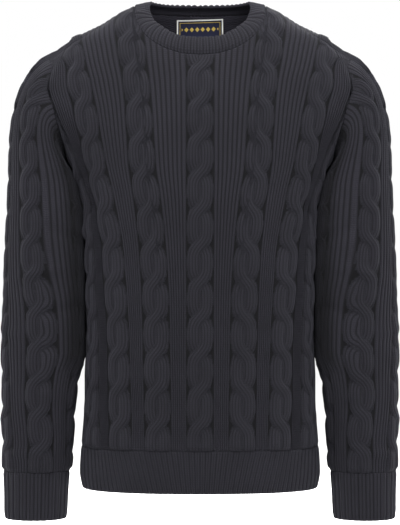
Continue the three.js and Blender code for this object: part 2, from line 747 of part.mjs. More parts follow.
// Path of one sleeve wale from the head of the tube to the armhole
function capPath(turn) {
  const start = sleeveTube(turn, SLEEVE_HEAD);
  const end = armAt(turn);
  const reach = start.distanceTo(end.p);
  const up = start.clone().sub(sleeveTube(turn, SLEEVE_HEAD - 5)).normalize()
    .multiplyScalar(reach * CAP_RISE);
  const arrive = end.leaving.clone().multiplyScalar(-reach * CAP_ARRIVE);
  const path = [];
  let course = SLEEVE_HEAD;
  for (let i = 0; i <= CAP_STEPS; i += 1) {
    const t = i / CAP_STEPS;
    const t2 = t * t;
    const t3 = t2 * t;
    const p = start.clone().multiplyScalar(2 * t3 - 3 * t2 + 1)
      .addScaledVector(up, t3 - 2 * t2 + t)
      .addScaledVector(end.p, 3 * t2 - 2 * t3)
      .addScaledVector(arrive, t3 - t2);
    if (i > 0) course += p.distanceTo(path[i - 1].p);
    path.push({ p, course });
  }
  return path;
}

function sleevePoint(turn, course) {
  return course <= SLEEVE_HEAD ? sleeveTube(turn, course) : onPath(capPath(turn), course);
}

function sleeveNormal(turn, course) {
  const across = sleevePoint(turn + 1, course).sub(sleevePoint(turn - 1, course));
  const up = sleevePoint(turn, course + 1).sub(sleevePoint(turn, course - 1));
  return across.cross(up).normalize();
}

const sleeveTop = (turn) => capPath(turn)[CAP_STEPS].course;

function sleeveCable(cable, u, course) {
  const z = Math.min(course, SLEEVE_HEAD);
  const radius = (sleeveAt.wide(z) + sleeveAt.deep(z)) / 2;
  return -sleeveAt.turn(z) + (360 / SLEEVE_CABLES) * cable + ((u / radius) * 180) / Math.PI;
}

function sleeveColumns() {
  const columns = [];
  for (let cable = FIRST_SLEEVE_CABLE; cable < FIRST_SLEEVE_CABLE + SLEEVE_CABLES; cable += 1) {
    for (const piece of cableColumns(false)) {
      columns.push({ ...piece, cable, at: (course) => sleeveCable(cable, piece.u, course), rise: 0 });
    }
    for (let j = 1; j < 2 * SLEEVE_RIBS; j += 1) {
      columns.push({
        at: (course) => mix(
          sleeveCable(cable, CABLE_HALF, course),
          sleeveCable(cable + 1, -CABLE_HALF, course),
          j / (2 * SLEEVE_RIBS),
        ),
        rise: j % 2 ? RIB_HIGH : RIB_LOW,
      });
    }
  }
  return columns;
}

function sleeveInnerColumns() {
  const columns = [];
  for (let i = 0; i < SLEEVE_INNER; i += 1) {
    columns.push({ at: () => -265 + (360 / SLEEVE_INNER) * i, rise: -WALL });
  }
  return columns;
}

function sleeveLine(shell, column) {
  const bottom = CUFF_TOP + SEAM_GAP / 2;
  const middle = column.at(SLEEVE_HEAD);
  const top = sleeveTop(middle) - CAP_MARGIN;
  const line = [];
  const add = (course, turn, rise) => {
    const off = Math.abs(((((turn - 90) % 360) + 540) % 360) - 180);
    const beside = (PRESS_TURN - off) / 15;
    const left = pressed(course, beside) * clamp((top + EDGE_MARGIN - course) / FADE, 0.1, 1);
    const low = rise > 0 ? rise * left : rise;
    const p = moved(sleevePoint(turn, course), sleeveNormal(turn, course), low);
    line.push({ id: shell.point(p), key: course, turn });
  };
  add(bottom, column.at(bottom), column.column ? CABLE_HIGH * 0.4 : column.rise);
  if (column.column) {
    for (const row of strandRows(column.column, SLEEVE_PHASE, SLEEVE_PERIOD, CUFF_TOP, top)) {
      add(row.course, sleeveCable(column.cable, row.u * column.sign, row.course), row.rise);
    }
  } else {
    for (const course of SLEEVE_COURSES) {
      if (course > CUFF_TOP && course < top - RIB_MARGIN) add(course, column.at(course), column.rise);
    }
  }
  add(top, column.at(top), column.column ? CABLE_HIGH * 0.4 : column.rise);
  return line;
}

function sleeveSkin(shell, columns, reverse) {
  const lines = columns.map((column) => sleeveLine(shell, column));
  lines.forEach((left, i) => {
    const next = (i + 1) % lines.length;
    const sheared = columns[i].column && columns[next].column;
    const keyed = (line, column) => line.map((entry) => ({
      id: entry.id,
      key: entry.key - (sheared ? (SHEAR * column.u * column.sign) / 8 : 0),
    }));
    shell.zip(keyed(left, columns[i]), keyed(lines[next], columns[next]), reverse);
  });
  return lines;
}

const ringOf = (lines, pick) => lines.map((line) => {
  const entry = line[pick(line)];
  return { id: entry.id, key: entry.turn };
});

function sleeveShell() {
  const shell = new Shell(false);
  const outer = sleeveSkin(shell, sleeveColumns(), false);
  const inner = sleeveSkin(shell, sleeveInnerColumns(), true);
  const outerSeam = outerArm.map((end) => ({ id: shell.point(end.p), key: end.turn }));
  const innerSeam = innerArm.map((end) => (
    { id: shell.point(moved(end.p, end.outward, -WALL)), key: end.turn }
  ));
  const last = (line) => line.length - 1;
  const first = () => 0;
  ringZip(shell, ringOf(outer, last), outerSeam, 360, false);
  ringZip(shell, ringOf(inner, last), innerSeam, 360, true);
  ringZip(shell, outerSeam, innerSeam, 360, false);
  ringZip(shell, ringOf(outer, first), ringOf(inner, first), 360, true);
  return shell;
}

// A band all round: ribs outside, plain inside, flat edges above and below
function band(shell, ribs, innerCount, turn, rows, pointAt) {
  const outerColumnsOf = [];
  for (let i = 0; i < ribs * 2; i += 1) {
    outerColumnsOf.push({ key: (turn * i) / (ribs * 2) - turn / 2, rise: i % 2 ? 1 : 0 });
  }
  const innerColumnsOf = [];
  for (let i = 0; i < innerCount; i += 1) {
    innerColumnsOf.push({ key: (turn * i) / innerCount - turn / 2, rise: -1 });
  }
  const place = (column, row) => {
    const height = column.rise < 0 ? -WALL : column.rise * row.rise;
    return pointAt(column.key, row, height);
  };
  const outer = bandRows(shell, outerColumnsOf, rows, place);
  const inner = bandRows(shell, innerColumnsOf, rows, place);
  joinRows(shell, outer, turn, false);
  joinRows(shell, inner, turn, true);
  return { outer, inner };
}

function rim(shell, outer, inner, turn, reverse) {
  shell.zip(closed(inner, turn), closed(outer, turn), reverse);
}

// Torso point for a place round the garment: the front runs from -3.75 to 3.75
function roundTorso(place, z, slant) {
  const wrapped = place > K_SIDE ? place - 4 * K_SIDE : place;
  const front = wrapped >= -K_SIDE && wrapped <= K_SIDE;
  let k = wrapped;
  if (!front) k = -2 * K_SIDE - wrapped;
  const shift = HEM_LEAN * slant * Math.sin((Math.PI * k) / K_SIDE);
  return torso(k - shift, z, front);
}

function hemShell() {
  const shell = new Shell(false);
  const rows = [
    { z: HEM_TOP - SEAM_GAP / 2, slant: 0, rise: BAND_RISE },
    { z: HEM_BOTTOM, slant: 1, rise: BAND_RISE },
  ].reverse();
  const { outer, inner } = band(shell, HEM_RIBS, 36, 4 * K_SIDE, rows, (place, row, height) => {
    const p = roundTorso(place, row.z, height < 0 ? 0 : row.slant);
    const placed = moved(p, torsoNormal(p), height);
    placed.z = row.z;
    return placed;
  });
  rim(shell, outer[0], inner[0], 4 * K_SIDE, true);
  rim(shell, outer[1], inner[1], 4 * K_SIDE, false);
  return shell;
}

function cuffShell() {
  const shell = new Shell(false);
  const rows = [
    { z: CUFF_BOTTOM, rise: BAND_RISE * 0.6 },
    { z: CUFF_BOTTOM + 8, rise: BAND_RISE * 1.4 },
    { z: CUFF_TOP - SEAM_GAP / 2, rise: BAND_RISE },
  ];
  const { outer, inner } = band(shell, CUFF_RIBS, 18, 360, rows, (turn, row, height) => {
    const p = sleeveTube(turn, row.z);
    const placed = moved(p, sleeveNormal(turn, row.z), height);
    placed.z = row.z;
    return placed;
  });
  rim(shell, outer[0], inner[0], 360, true);
  rim(shell, outer[2], inner[2], 360, false);
  return shell;
}

// Neckline stations of both panels as one ring round the neck
function neckRing(frontTop, backTop) {
  const inside = (entry) => Math.abs(entry.k) <= K_NECK + 0.001;
  const strictly = (entry) => Math.abs(entry.k) < K_NECK - 0.001;
  const ring = frontTop.filter(inside).concat(backTop.filter(strictly)).map(({ end }) => ({
    p: moved(end.p, end.inward, -SEAM_GAP / 2),
    normal: end.normal,
    turn: (Math.atan2(end.p.x, -(end.p.y - NECK_MIDDLE)) * 180) / Math.PI,
  }));
  return ring.sort((a, b) => a.turn - b.turn);
}
const outerNeck = neckRing(frontPanel.outerTop, backPanel.outerTop);
const innerNeck = neckRing(frontPanel.innerTop, backPanel.innerTop);

function neckAtTurn(turn) {
  const ring = outerNeck;
  const wrapped = ((((turn - ring[0].turn) % 360) + 360) % 360) + ring[0].turn;
  let i = ring.length - 1;
  while (i > 0 && ring[i].turn > wrapped) i -= 1;
  const a = ring[i];
  const b = ring[(i + 1) % ring.length];
  const end = i === ring.length - 1 ? b.turn + 360 : b.turn;
  return a.p.clone().lerp(b.p, (wrapped - a.turn) / (end - a.turn));
}

function collarPoint(turn, share) {
  const seam = neckAtTurn(turn);
  const round = ((((turn + 180) % 360) + 360) % 360) - 180;
  const size = Math.abs(round);
  const edge = new THREE.Vector3(collarAt.x(size) * Math.sign(round), collarAt.y(size), collarAt.z(size));
  const outward = new THREE.Vector3(Math.sin(degrees(turn)), -Math.cos(degrees(turn)), 0.6).normalize();
  const bulge = 4 * COLLAR_BULGE * share * (1 - share);
  return moved(seam.lerp(edge, share), outward, bulge);
}

function collarNormal(turn, share) {
  const across = collarPoint(turn + 1, share).sub(collarPoint(turn - 1, share));
  const up = collarPoint(turn, share + 0.05).sub(collarPoint(turn, share - 0.05));
  return across.cross(up).normalize();
}

function collarShell() {
  const shell = new Shell(false);
  const rows = [
    { share: 0.16, rise: BAND_RISE * 1.2 }, { share: 0.6, rise: BAND_RISE * 1.4 },
    { share: 1, rise: BAND_RISE * 0.8 },
  ];
  const { outer, inner } = band(shell, COLLAR_RIBS, 36, 360, rows, (turn, row, height) => (
    moved(collarPoint(turn, row.share), collarNormal(turn, Math.min(row.share, 0.95)), height)
  ));
  const outerSeam = outerNeck.map((end) => ({ id: shell.point(end.p), key: end.turn }));
  const innerSeam = innerNeck.map((end) => (
    { id: shell.point(moved(end.p, end.normal, -WALL)), key: end.turn }
  ));
  ringZip(shell, outer[0], outerSeam, 360, true);
  ringZip(shell, inner[0], innerSeam, 360, false);
  ringZip(shell, outerSeam, innerSeam, 360, true);
  rim(shell, outer[2], inner[2], 360, false);
  return shell;
}

// Label: rows down the inside of the back panel, a little off it
function labelShell() {
  const shell = new Shell(false);
  const grid = LABEL_ROWS.map((row) => {
    const line = [];
    for (let i = 0; i <= LABEL_COLUMNS; i += 1) {
      const x = LABEL_WIDTH * (i / LABEL_COLUMNS - 0.5);
      const z = row + LABEL_TILT * x;
      const y = torsoAt.back(z) * Math.sqrt(1 - (x / torsoAt.half(z)) ** 2);
      const p = new THREE.Vector3(x, y, z);
      line.push(moved(p, torsoNormal(p), -LABEL_OFF));
    }
    return line;
  });
  const layer = (shift) => grid.map((line) => line.map((p) => ({
    id: shell.point(p.clone().add(new THREE.Vector3(0, shift, 0))), key: p.x,
  })));
  const front = layer(-LABEL_THICK);
  const back = layer(0);
  for (let i = 1; i < grid.length; i += 1) {
    shell.zip(front[i - 1], front[i], false);
    shell.zip(back[i - 1], back[i], true);
  }
  const side = (rows, at) => rows.map((line, i) => ({ id: line[at(line)].id, key: i }));
  const first = () => 0;
  const last = (line) => line.length - 1;
  shell.zip(front[0], back[0], true);
  shell.zip(front[front.length - 1], back[back.length - 1], false);
  shell.zip(side(front, first), side(back, first), false);
  shell.zip(side(front, last), side(back, last), true);
  return shell;
}

const part = new THREE.Group();
part.name = 'cable_knit_sweater';
const NAVY = 0x22222b;
const RIB_NAVY = 0x24242d;
const LABEL_NAVY = 0x1c2038;
const sleeve = sleeveShell();
const cuff = cuffShell();
part.add(frontPanel.shell.mesh('body_front', NAVY));
part.add(backPanel.shell.mesh('body_back', NAVY));
part.add(sleeve.mesh('sleeve_left', NAVY));
part.add(sleeve.mesh('sleeve_right', NAVY, true));
part.add(cuff.mesh('cuff_left', RIB_NAVY));
part.add(cuff.mesh('cuff_right', RIB_NAVY, true));
part.add(hemShell().mesh('hem_rib', RIB_NAVY));
part.add(collarShell().mesh('collar', RIB_NAVY));
part.add(labelShell().mesh('neck_label', LABEL_NAVY));

export default part;
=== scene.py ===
"""Cable knit sweater in its worn form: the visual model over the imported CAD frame.

Tables are in millimetres, Z up, the front faces -Y and the origin is the middle of the
neck opening. Meshes are made in metres.
"""
import logging
import math
from dataclasses import astuple, dataclass, fields
from enum import Enum
from typing import Callable, Sequence

import bmesh
import bpy
import numpy as np
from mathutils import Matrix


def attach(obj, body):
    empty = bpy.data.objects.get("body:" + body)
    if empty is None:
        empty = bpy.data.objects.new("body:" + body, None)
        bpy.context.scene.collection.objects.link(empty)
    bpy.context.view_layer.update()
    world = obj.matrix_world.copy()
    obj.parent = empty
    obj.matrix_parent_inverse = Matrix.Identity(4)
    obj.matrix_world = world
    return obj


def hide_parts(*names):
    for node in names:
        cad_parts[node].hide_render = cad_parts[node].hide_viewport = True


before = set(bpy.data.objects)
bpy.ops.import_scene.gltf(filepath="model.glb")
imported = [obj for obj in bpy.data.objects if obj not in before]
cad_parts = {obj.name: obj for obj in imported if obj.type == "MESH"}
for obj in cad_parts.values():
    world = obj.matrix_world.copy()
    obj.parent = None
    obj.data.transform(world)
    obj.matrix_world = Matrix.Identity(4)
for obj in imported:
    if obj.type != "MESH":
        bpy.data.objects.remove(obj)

Array = np.ndarray
log = logging.getLogger("sweater")

MM = 0.001
BODY = "root"

# Driving sizes, as in the CAD
SEAM_GAP = 0.3
WALL = 2.6
HEM_TOP = -594.0
HEM_BOTTOM = -652.0
YOKE = -90.0
CUFF_TOP = -629.0
CUFF_BOTTOM = -696.0
SLEEVE_HEAD = -238.0

# Knit relief
CABLE_HALF = 18.5
CABLE_PERIOD = 48.6
CABLE_PHASE = -72.8
SLEEVE_PERIOD = 47.6
SLEEVE_PHASE = -594.0
CABLE_HIGH = 5.0
RIB_HIGH = 1.35
PANEL_RIBS = 7
SIDE_RIBS = 4
SLEEVE_RIBS = 5
SLEEVE_CABLES = 5
HEM_RIBS = 112
CUFF_RIBS = 27
COLLAR_RIBS = 60
HEM_SLANT = 16.0
BAND_RISE = 1.5

# Wale numbers: whole numbers are cable centres, counted from the middle of the front
K_SIDE = 3.75
K_NECK = 0.918
K_TIP = 2.6
K_ARM = 2.68
LAST_CABLE = 3

FOLD_TOP = 15.0
FOLD_UNDER = 125.0
NECK_MIDDLE = -8.0
COLLAR_BULGE = 3.0
CAP_RISE = 1.15
CAP_ARRIVE = 0.9
CAP_PUFF = 4.5
LEAVE_BLUR = 22.0
PRESS_TOP = -495.0
PRESS_SPAN = 25.0
PRESS_LEFT = 0.12
# Strength of the painted shadow in the crevice between sleeve and torso
CREVICE_PAINTED_SHADE = 1.4
CREASE_DEPTH = 1.5
# Negative painted shade, that is painted light, on the inner skin, stronger inside the collar
INSIDE_PAINTED_LIGHT = -0.8
COLLAR_INSIDE_PAINTED_LIGHT = -2.2

LABEL_WIDTH = 68.0
LABEL_TOP = 12.0
LABEL_BOTTOM = -24.0
LABEL_TILT = 0.03
LABEL_THICK = 0.8
LABEL_OFF = WALL + 2


class Side(Enum):
    """The half of the torso that a panel covers."""

    FRONT = "front"
    BACK = "back"


class Held(Enum):
    HUNG = "hung"
    STRETCHED = "stretched"


@dataclass(frozen=True)
class TorsoSlice:
    """A slice of the torso at height z: sizes, fullness and where three wales stand."""

    z: float
    half: float
    front: float
    back: float
    power: float
    x1: float
    x2: float
    x3: float


@dataclass(frozen=True)
class SleeveSlice:
    """A slice of the left sleeve.

    Centre, half width outside and inside, half depth, squareness of the inner half,
    clearance from the torso and turn of the front cable.
    """

    z: float
    x: float
    y: float
    wide: float
    inner: float
    deep: float
    power: float
    clear: float
    turn: float


@dataclass(frozen=True)
class EdgePoint:
    """A point of the collar's upper edge, by angle round the neck from the front."""

    deg: float
    x: float
    y: float
    z: float


@dataclass(frozen=True)
class WaleMark:
    """A value that belongs to a wale number."""

    k: float
    value: float


@dataclass(frozen=True)
class Crease:
    """A soft fold: place across and along, lean, half length, half width and height."""

    across: float
    along: float
    lean: float
    length: float
    width: float
    height: float


TORSO = (
    TorsoSlice(-660, 161, 115, 102, 2.4, 57, 109, 146),
    TorsoSlice(-630, 166.5, 119, 106, 2.4, 57, 109, 147),
    TorsoSlice(-594, 164.5, 117, 104, 2.4, 57, 109, 146),
    TorsoSlice(-527, 160, 117, 104, 2.4, 57.4, 110, 146.5),
    TorsoSlice(-459, 160, 118, 104, 2.4, 58.7, 111.7, 147),
    TorsoSlice(-391, 160, 119, 105, 2.4, 60, 115.8, 149),
    TorsoSlice(-323, 161, 121, 107, 2.4, 64, 121, 151.5),
    TorsoSlice(-254, 164, 123, 110, 2.35, 71, 135, 158),
    TorsoSlice(-210, 176, 122, 112, 2.3, 78, 144, 171),
    TorsoSlice(-168, 198, 118, 113, 2.2, 81, 151, 190),
    TorsoSlice(-126, 225, 111, 112, 2.05, 84, 158, 212),
    TorsoSlice(-95, 231, 103, 110, 2, 87, 165, 222),
    TorsoSlice(-63, 217, 93, 107, 2, 92, 172, 214),
    TorsoSlice(-40, 197, 84, 103, 2, 95, 176, 212),
    TorsoSlice(-28, 181, 79, 100, 2, 97, 178, 212),
    TorsoSlice(-17, 159, 74, 97, 2, 98, 178, 212),
    TorsoSlice(-6, 136.5, 69, 93, 2, 99, 178, 212),
    TorsoSlice(6, 118, 63, 88, 2, 99, 178, 212),
    TorsoSlice(17, 97, 58, 80, 2, 99, 178, 212),
    TorsoSlice(24, 80, 54, 70, 2, 99, 178, 212),
)

NECK_FRONT = (
    WaleMark(0, -56), WaleMark(0.216, -54.5), WaleMark(0.43, -49), WaleMark(0.644, -38),
    WaleMark(0.773, -25.7), WaleMark(0.85, -12), WaleMark(0.89, -1), WaleMark(0.918, 19.6),
)
NECK_BACK = (WaleMark(0, 15), WaleMark(0.4, 15.3), WaleMark(0.7, 16), WaleMark(0.918, 19.6))
SHOULDER_DROP = (
    WaleMark(0.918, 0), WaleMark(1.2, 2), WaleMark(1.5, 6), WaleMark(1.8, 9),
    WaleMark(2.1, 10), WaleMark(2.4, 16), WaleMark(2.6, 28),
)
ARMHOLE = (
    WaleMark(2.68, -90), WaleMark(2.71, -110), WaleMark(2.76, -130), WaleMark(2.85, -150),
    WaleMark(3, -168), WaleMark(3.2, -182), WaleMark(3.45, -193), WaleMark(3.75, -199),
)

SLEEVE = (
    SleeveSlice(-710, 230, -2, 42.5, 42.5, 45, 2, 8, -12),
    SleeveSlice(-660, 229, -2, 43.5, 43.5, 46, 2, 8, -12),
    SleeveSlice(-631, 228.5, -2, 45, 45, 47, 2, 8, -11),
    SleeveSlice(-588, 227, -2, 46.5, 46, 49, 2.1, 8, -9),
    SleeveSlice(-527, 224, -2, 49, 48, 52, 2.3, 8, 0),
    SleeveSlice(-495, 221, -2, 52, 51, 53, 2.5, 6, 2),
    SleeveSlice(-462, 218, -2, 56, 62, 54, 2.8, 2.8, 4),
    SleeveSlice(-406, 216, -2, 56, 62, 55, 2.8, 2.6, 8),
    SleeveSlice(-347, 215, -2, 55, 62, 56, 2.8, 2.6, 17),
    SleeveSlice(-290, 215, -1, 52.5, 60, 57, 2.8, 4.6, 21),
    SleeveSlice(-238, 217, 0, 48, 58, 57, 2.8, 7.5, 22),
)

COLLAR_EDGE = (
    EdgePoint(0, 0, -74, -31), EdgePoint(20, 25, -72, -29), EdgePoint(45, 54, -54, -13),
    EdgePoint(62, 65, -35, -2), EdgePoint(90, 70.5, -4, 17), EdgePoint(115, 67, 26, 27.5),
    EdgePoint(145, 44, 56, 27), EdgePoint(180, 0, 67, 27.5),
)

# Courses between which the width of a wale is measured
PITCH_COURSES = (-594.0, -450.0, -320.0, -245.0, -190.0, -140.0, -95.0, -90.0)

# Creases of the left half of a panel: across is the wale number, along the course
PANEL_CREASES = (
    Crease(-3.0, -222, 0.9, 46, 9, 2.2),
    Crease(-2.7, -262, 0.7, 58, 10, -2.0),
    Crease(-3.3, -300, 0.45, 40, 8, 1.6),
    Crease(-2.2, -360, 0.2, 66, 12, 1.3),
    Crease(-3.2, -430, -0.2, 52, 10, -1.5),
    Crease(-1.6, -500, 0.12, 74, 13, 1.2),
    Crease(-3.1, -545, -0.15, 48, 9, 1.5),
    Crease(-0.4, -570, 0.05, 70, 10, -1.0),
    Crease(1.3, -452, -0.1, 64, 12, 0.9),
)

# Creases of a sleeve: across is the turn in degrees, along the course
SLEEVE_CREASES = (
    Crease(40, -262, -0.8, 34, 8, 2.2),
    Crease(20, -300, -0.6, 40, 9, -1.8),
    Crease(-10, -352, 0.25, 46, 8, 1.8),
    Crease(-150, -378, -0.3, 44, 9, 2.0),
    Crease(30, -402, 0.3, 40, 8, -1.8),
    Crease(-60, -436, -0.2, 44, 9, 1.5),
    Crease(-200, -452, 0.25, 50, 9, -1.8),
    Crease(10, -520, -0.25, 42, 8, 1.6),
    Crease(-100, -560, 0.2, 46, 8, 1.6),
    Crease(-20, -602, 0.1, 48, 7, 1.9),
    Crease(-190, -610, -0.1, 46, 7, 1.9),
    Crease(70, -612, 0.1, 30, 7, 1.6),
)


def mix(a: Array, b: Array, share: Array) -> Array:
    """Linear mix.

    Args:
        a: Value at share 0.
        b: Value at share 1.
        share: How far from a to b.

    Returns:
        The mixed value.
    """
    return a + (b - a) * share


def unit(vectors: Array) -> Array:
    """Scales vectors to length one.

    Args:
        vectors: Array whose last axis is x, y, z.

    Returns:
        The unit vectors.
    """
    return vectors / np.maximum(np.linalg.norm(vectors, axis=-1, keepdims=True), 1e-12)


def through(xs: Array, ys: Array, x: Array) -> Array:
    """Smooth curve through knots, without overshoot.

    Args:
        xs: The knots' places, rising.
        ys: The knots' values; further axes, if any, are those of x.
        x: Where the curve is wanted.

    Returns:
        The curve's values at x.
    """
    x = np.clip(x, xs[0], xs[-1])
    steps = np.diff(xs)
    slopes = np.diff(ys, axis=0) / steps.reshape((-1,) + (1,) * (ys.ndim - 1))
    tangents = np.concatenate([slopes[:1], np.zeros_like(slopes[:-1]), slopes[-1:]])
    product = slopes[:-1] * slopes[1:]
    total = np.where(product > 0, slopes[:-1] + slopes[1:], 1.0)
    tangents[1:-1] = np.where(product > 0, 2 * product / total, 0.0)
    index = np.clip(np.searchsorted(xs, x, side="right") - 1, 0, len(xs) - 2)

    def pick(values: Array, at: Array) -> Array:
        if values.ndim == 1:
            return values[at]
        return np.take_along_axis(values, at[None], axis=0)[0]

    step = steps[index]
    t = (x - xs[index]) / step
    t2, t3 = t * t, t * t * t
    return (
        (2 * t3 - 3 * t2 + 1) * pick(ys, index)
        + (t3 - 2 * t2 + t) * step * pick(tangents, index)
        + (3 * t2 - 2 * t3) * pick(ys, index + 1)
        + (t3 - t2) * step * pick(tangents, index + 1)
    )


class Curves:
    """Smooth curves through the columns of a table of dataclass rows."""

    def __init__(self, rows: Sequence) -> None:
        """Reads the table.

        Args:
            rows: Rows of one dataclass; its first field is the place.
        """
        table = np.array([astuple(row) for row in rows], float)
        self.places = table[:, 0]
        names = [item.name for item in fields(rows[0])]
        self.columns = {name: table[:, i] for i, name in enumerate(names)}

    def at(self, name: str, x: Array) -> Array:
        """Value of a column.

        Args:
            name: The column.
            x: Places where it is wanted.

        Returns:
            The values.
        """
        return through(self.places, self.columns[name], x)


class BodyForm:
    """The worn torso: slices in height, and numbered wales that run up them."""

    ARC_STEPS = 72

    def __init__(self) -> None:
        """Reads the tables of the torso and its edges."""
        self.slices = Curves(TORSO)
        self.necks = {Side.FRONT: Curves(NECK_FRONT), Side.BACK: Curves(NECK_BACK)}
        self.drop = Curves(SHOULDER_DROP)
        self.armhole = Curves(ARMHOLE)
        self.top = TORSO[-1].z
        courses = np.array(PITCH_COURSES)
        self.pitches = []
        for cable in range(LAST_CABLE + 1):
            step = 0.05
            a = self.point(np.full(courses.shape, cable - step), courses, Side.FRONT)
            b = self.point(np.full(courses.shape, cable + step), courses, Side.FRONT)
            self.pitches.append(np.linalg.norm(a - b, axis=-1) / (2 * step))

    def wale_x(self, k: Array, z: Array) -> Array:
        """How far out a wale stands on a slice.

        Args:
            k: Wale numbers, not negative.
            z: Heights of the same shape.

        Returns:
            Distances from the middle.
        """
        outs = [np.zeros_like(z)] + [self.slices.at(name, z) for name in ("x1", "x2", "x3")]
        return through(np.arange(4.0), np.array(outs), k)

    def wale_angle(self, k: Array, z: Array) -> Array:
        """Slice angle of a wale: 0 in the middle of the front, a quarter turn at the side.

        Args:
            k: Wale numbers, not negative.
            z: Heights of the same shape.

        Returns:
            Angles in radians.
        """
        half, power = self.slices.at("half", z), self.slices.at("power", z)

        def turn(x: Array) -> Array:
            return np.arcsin(np.minimum(1.0, x / half) ** (power / 2))

        inner = turn(self.wale_x(np.minimum(k, 2.0), z))
        knots = [turn(self.slices.at("x2", z)), turn(self.slices.at("x3", z))]
        knots.append(np.full(z.shape, math.pi / 2))
        outer = through(np.array([2.0, 3.0, K_SIDE]), np.array(knots), k)
        return np.where(k <= 2, inner, outer)

    def point(self, k: Array, z: Array, side: Side) -> Array:
        """Point of the torso on a wale at a height.

        Args:
            k: Wale numbers, negative on the left.
            z: Heights of the same shape.
            side: Front or back half.

        Returns:
            Points, with x, y, z on a last axis.
        """
        angle = self.wale_angle(np.abs(k), z)
        power = 2 / self.slices.at("power", z)
        x = self.slices.at("half", z) * np.sin(angle) ** power * np.sign(k)
        depth = -self.slices.at("front", z) if side is Side.FRONT else self.slices.at("back", z)
        y = depth * np.maximum(0.0, np.cos(angle)) ** power
        return np.stack([x, y, z], axis=-1)

    def level(self, x: Array, y: Array, z: Array) -> Array:
        """Value that is one on the torso's surface and grows outwards."""
        power = self.slices.at("power", z)
        depth = np.where(y < 0, self.slices.at("front", z), self.slices.at("back", z))
        return (np.abs(x) / self.slices.at("half", z)) ** power + (np.abs(y) / depth) ** power

    def side_at(self, y: Array, z: Array) -> Array:
        """Half width of the torso at a depth.

        Args:
            y: Depths.
            z: Heights of the same shape.

        Returns:
            Half widths.
        """
        power = self.slices.at("power", z)
        depth = np.where(y < 0, self.slices.at("front", z), self.slices.at("back", z))
        inside = np.maximum(0.0, 1 - (np.abs(y) / depth) ** power)
        return self.slices.at("half", z) * inside ** (1 / power)

    def normal(self, p: Array) -> Array:
        """Outward normals of the torso.

        Args:
            p: Points on it.

        Returns:
            Unit vectors.
        """
        x, y, z = p[..., 0], p[..., 1], p[..., 2]
        step = 0.5
        gradient = [
            self.level(x + step, y, z) - self.level(x - step, y, z),
            self.level(x, y + step, z) - self.level(x, y - step, z),
            self.level(x, y, z + step) - self.level(x, y, z - step),
        ]
        return unit(np.stack(gradient, axis=-1))

    def ridge(self, k: Array) -> Array:
        """Height of the shoulder ridge above wales.

        Args:
            k: Wale numbers, not negative.

        Returns:
            Heights.
        """
        low, high = np.full(k.shape, YOKE), np.full(k.shape, self.top)
        for _ in range(40):
            middle = (low + high) / 2
            under = self.wale_x(k, middle) < self.slices.at("half", middle)
            low, high = np.where(under, middle, low), np.where(under, high, middle)
        return low

    def upper(self, k: Array, side: Side) -> tuple[Array, Array]:
        """Paths of wales above the yoke, over the ridge where they have one.

        Args:
            k: Wale numbers.
            side: The half on which the paths start.

        Returns:
            Points (wale, step, xyz) and the course at each.
        """
        size = np.abs(k)[:, None]
        share = np.linspace(0.0, 1.0, self.ARC_STEPS + 1)[None]
        turn = (1 - 2 * share) * (-1 if side is Side.FRONT else 1)
        arch = mix(YOKE, self.ridge(np.abs(k))[:, None], np.cos(turn * math.pi / 2))
        straight = np.broadcast_to(mix(YOKE, self.top, share), arch.shape)
        z = np.where(size < K_NECK, straight, arch)
        full = np.broadcast_to(k[:, None], z.shape)
        front, back = self.point(full, z, Side.FRONT), self.point(full, z, Side.BACK)
        over = np.broadcast_to(turn < 0, z.shape)
        in_front = np.where(size < K_NECK, side is Side.FRONT, over)
        points = np.where(in_front[..., None], front, back)
        lengths = np.linalg.norm(np.diff(points, axis=1), axis=-1)
        courses = YOKE + np.concatenate([np.zeros((len(k), 1)), np.cumsum(lengths, axis=1)], axis=1)
        return points, courses

    def place(self, k: Array, course: Array, side: Side) -> Array:
        """Points at courses of wales; above the yoke a column keeps its wale.

        Args:
            k: Wale numbers (row, column).
            course: Courses of the same shape, rising with the row.
            side: Front or back.

        Returns:
            Points (row, column, xyz).
        """
        found = self.point(k, np.minimum(course, YOKE), side)
        points, courses = self.upper(k[-1], side)
        for column in np.flatnonzero(course[-1] > YOKE):
            rows = np.flatnonzero(course[:, column] > YOKE)
            for axis in range(3):
                found[rows, column, axis] = np.interp(
                    course[rows, column], courses[column], points[column, :, axis]
                )
        return found

    def course_at(self, points: Array, courses: Array, z: float, from_end: bool) -> float:
        """First course of a path, from one end or the other, at a height."""
        if from_end:
            points, courses = points[::-1], courses[::-1]
        reached = np.flatnonzero(points[1:, 2] >= z)
        if not len(reached):
            return float(courses[-1])
        i = reached[0] + 1
        share = (z - points[i - 1, 2]) / (points[i, 2] - points[i - 1, 2])
        return float(mix(courses[i - 1], courses[i], share))

    def top_course(self, k: Array, side: Side) -> Array:
        """Course at which wales end, at the neckline, the shoulder seam or the armhole.

        Args:
            k: Wale numbers.
            side: Front or back panel.

        Returns:
            Courses.
        """
        size = np.abs(k)
        held = np.minimum(size, K_TIP)
        points, courses = self.upper(held, side)
        seam = self.ridge(held) - self.drop.at("value", held)
        neck = self.necks[side].at("value", held)
        upper = np.empty(k.shape)
        for i, own in enumerate(held):
            at_neck = own < K_NECK
            height = neck[i] if at_neck else seam[i]
            from_end = side is Side.BACK and not at_neck
            upper[i] = self.course_at(points[i], courses[i], height, from_end)
        low = self.armhole.at("value", size)
        strip = mix(upper, YOKE, (size - K_TIP) / (K_ARM - K_TIP))
        return np.where(size <= K_TIP, upper, np.where(size < K_ARM, strip, low))

    def edge(self, cable: int, across: float, course: Array) -> Array:
        """Wale number at a distance beside a cable's centre.

        Args:
            cable: The cable.
            across: Millimetres to its right.
            course: Courses.

        Returns:
            Wale numbers.
        """
        pitch = through(np.array(PITCH_COURSES), self.pitches[abs(cable)], np.minimum(course, YOKE))
        return cable + across / pitch


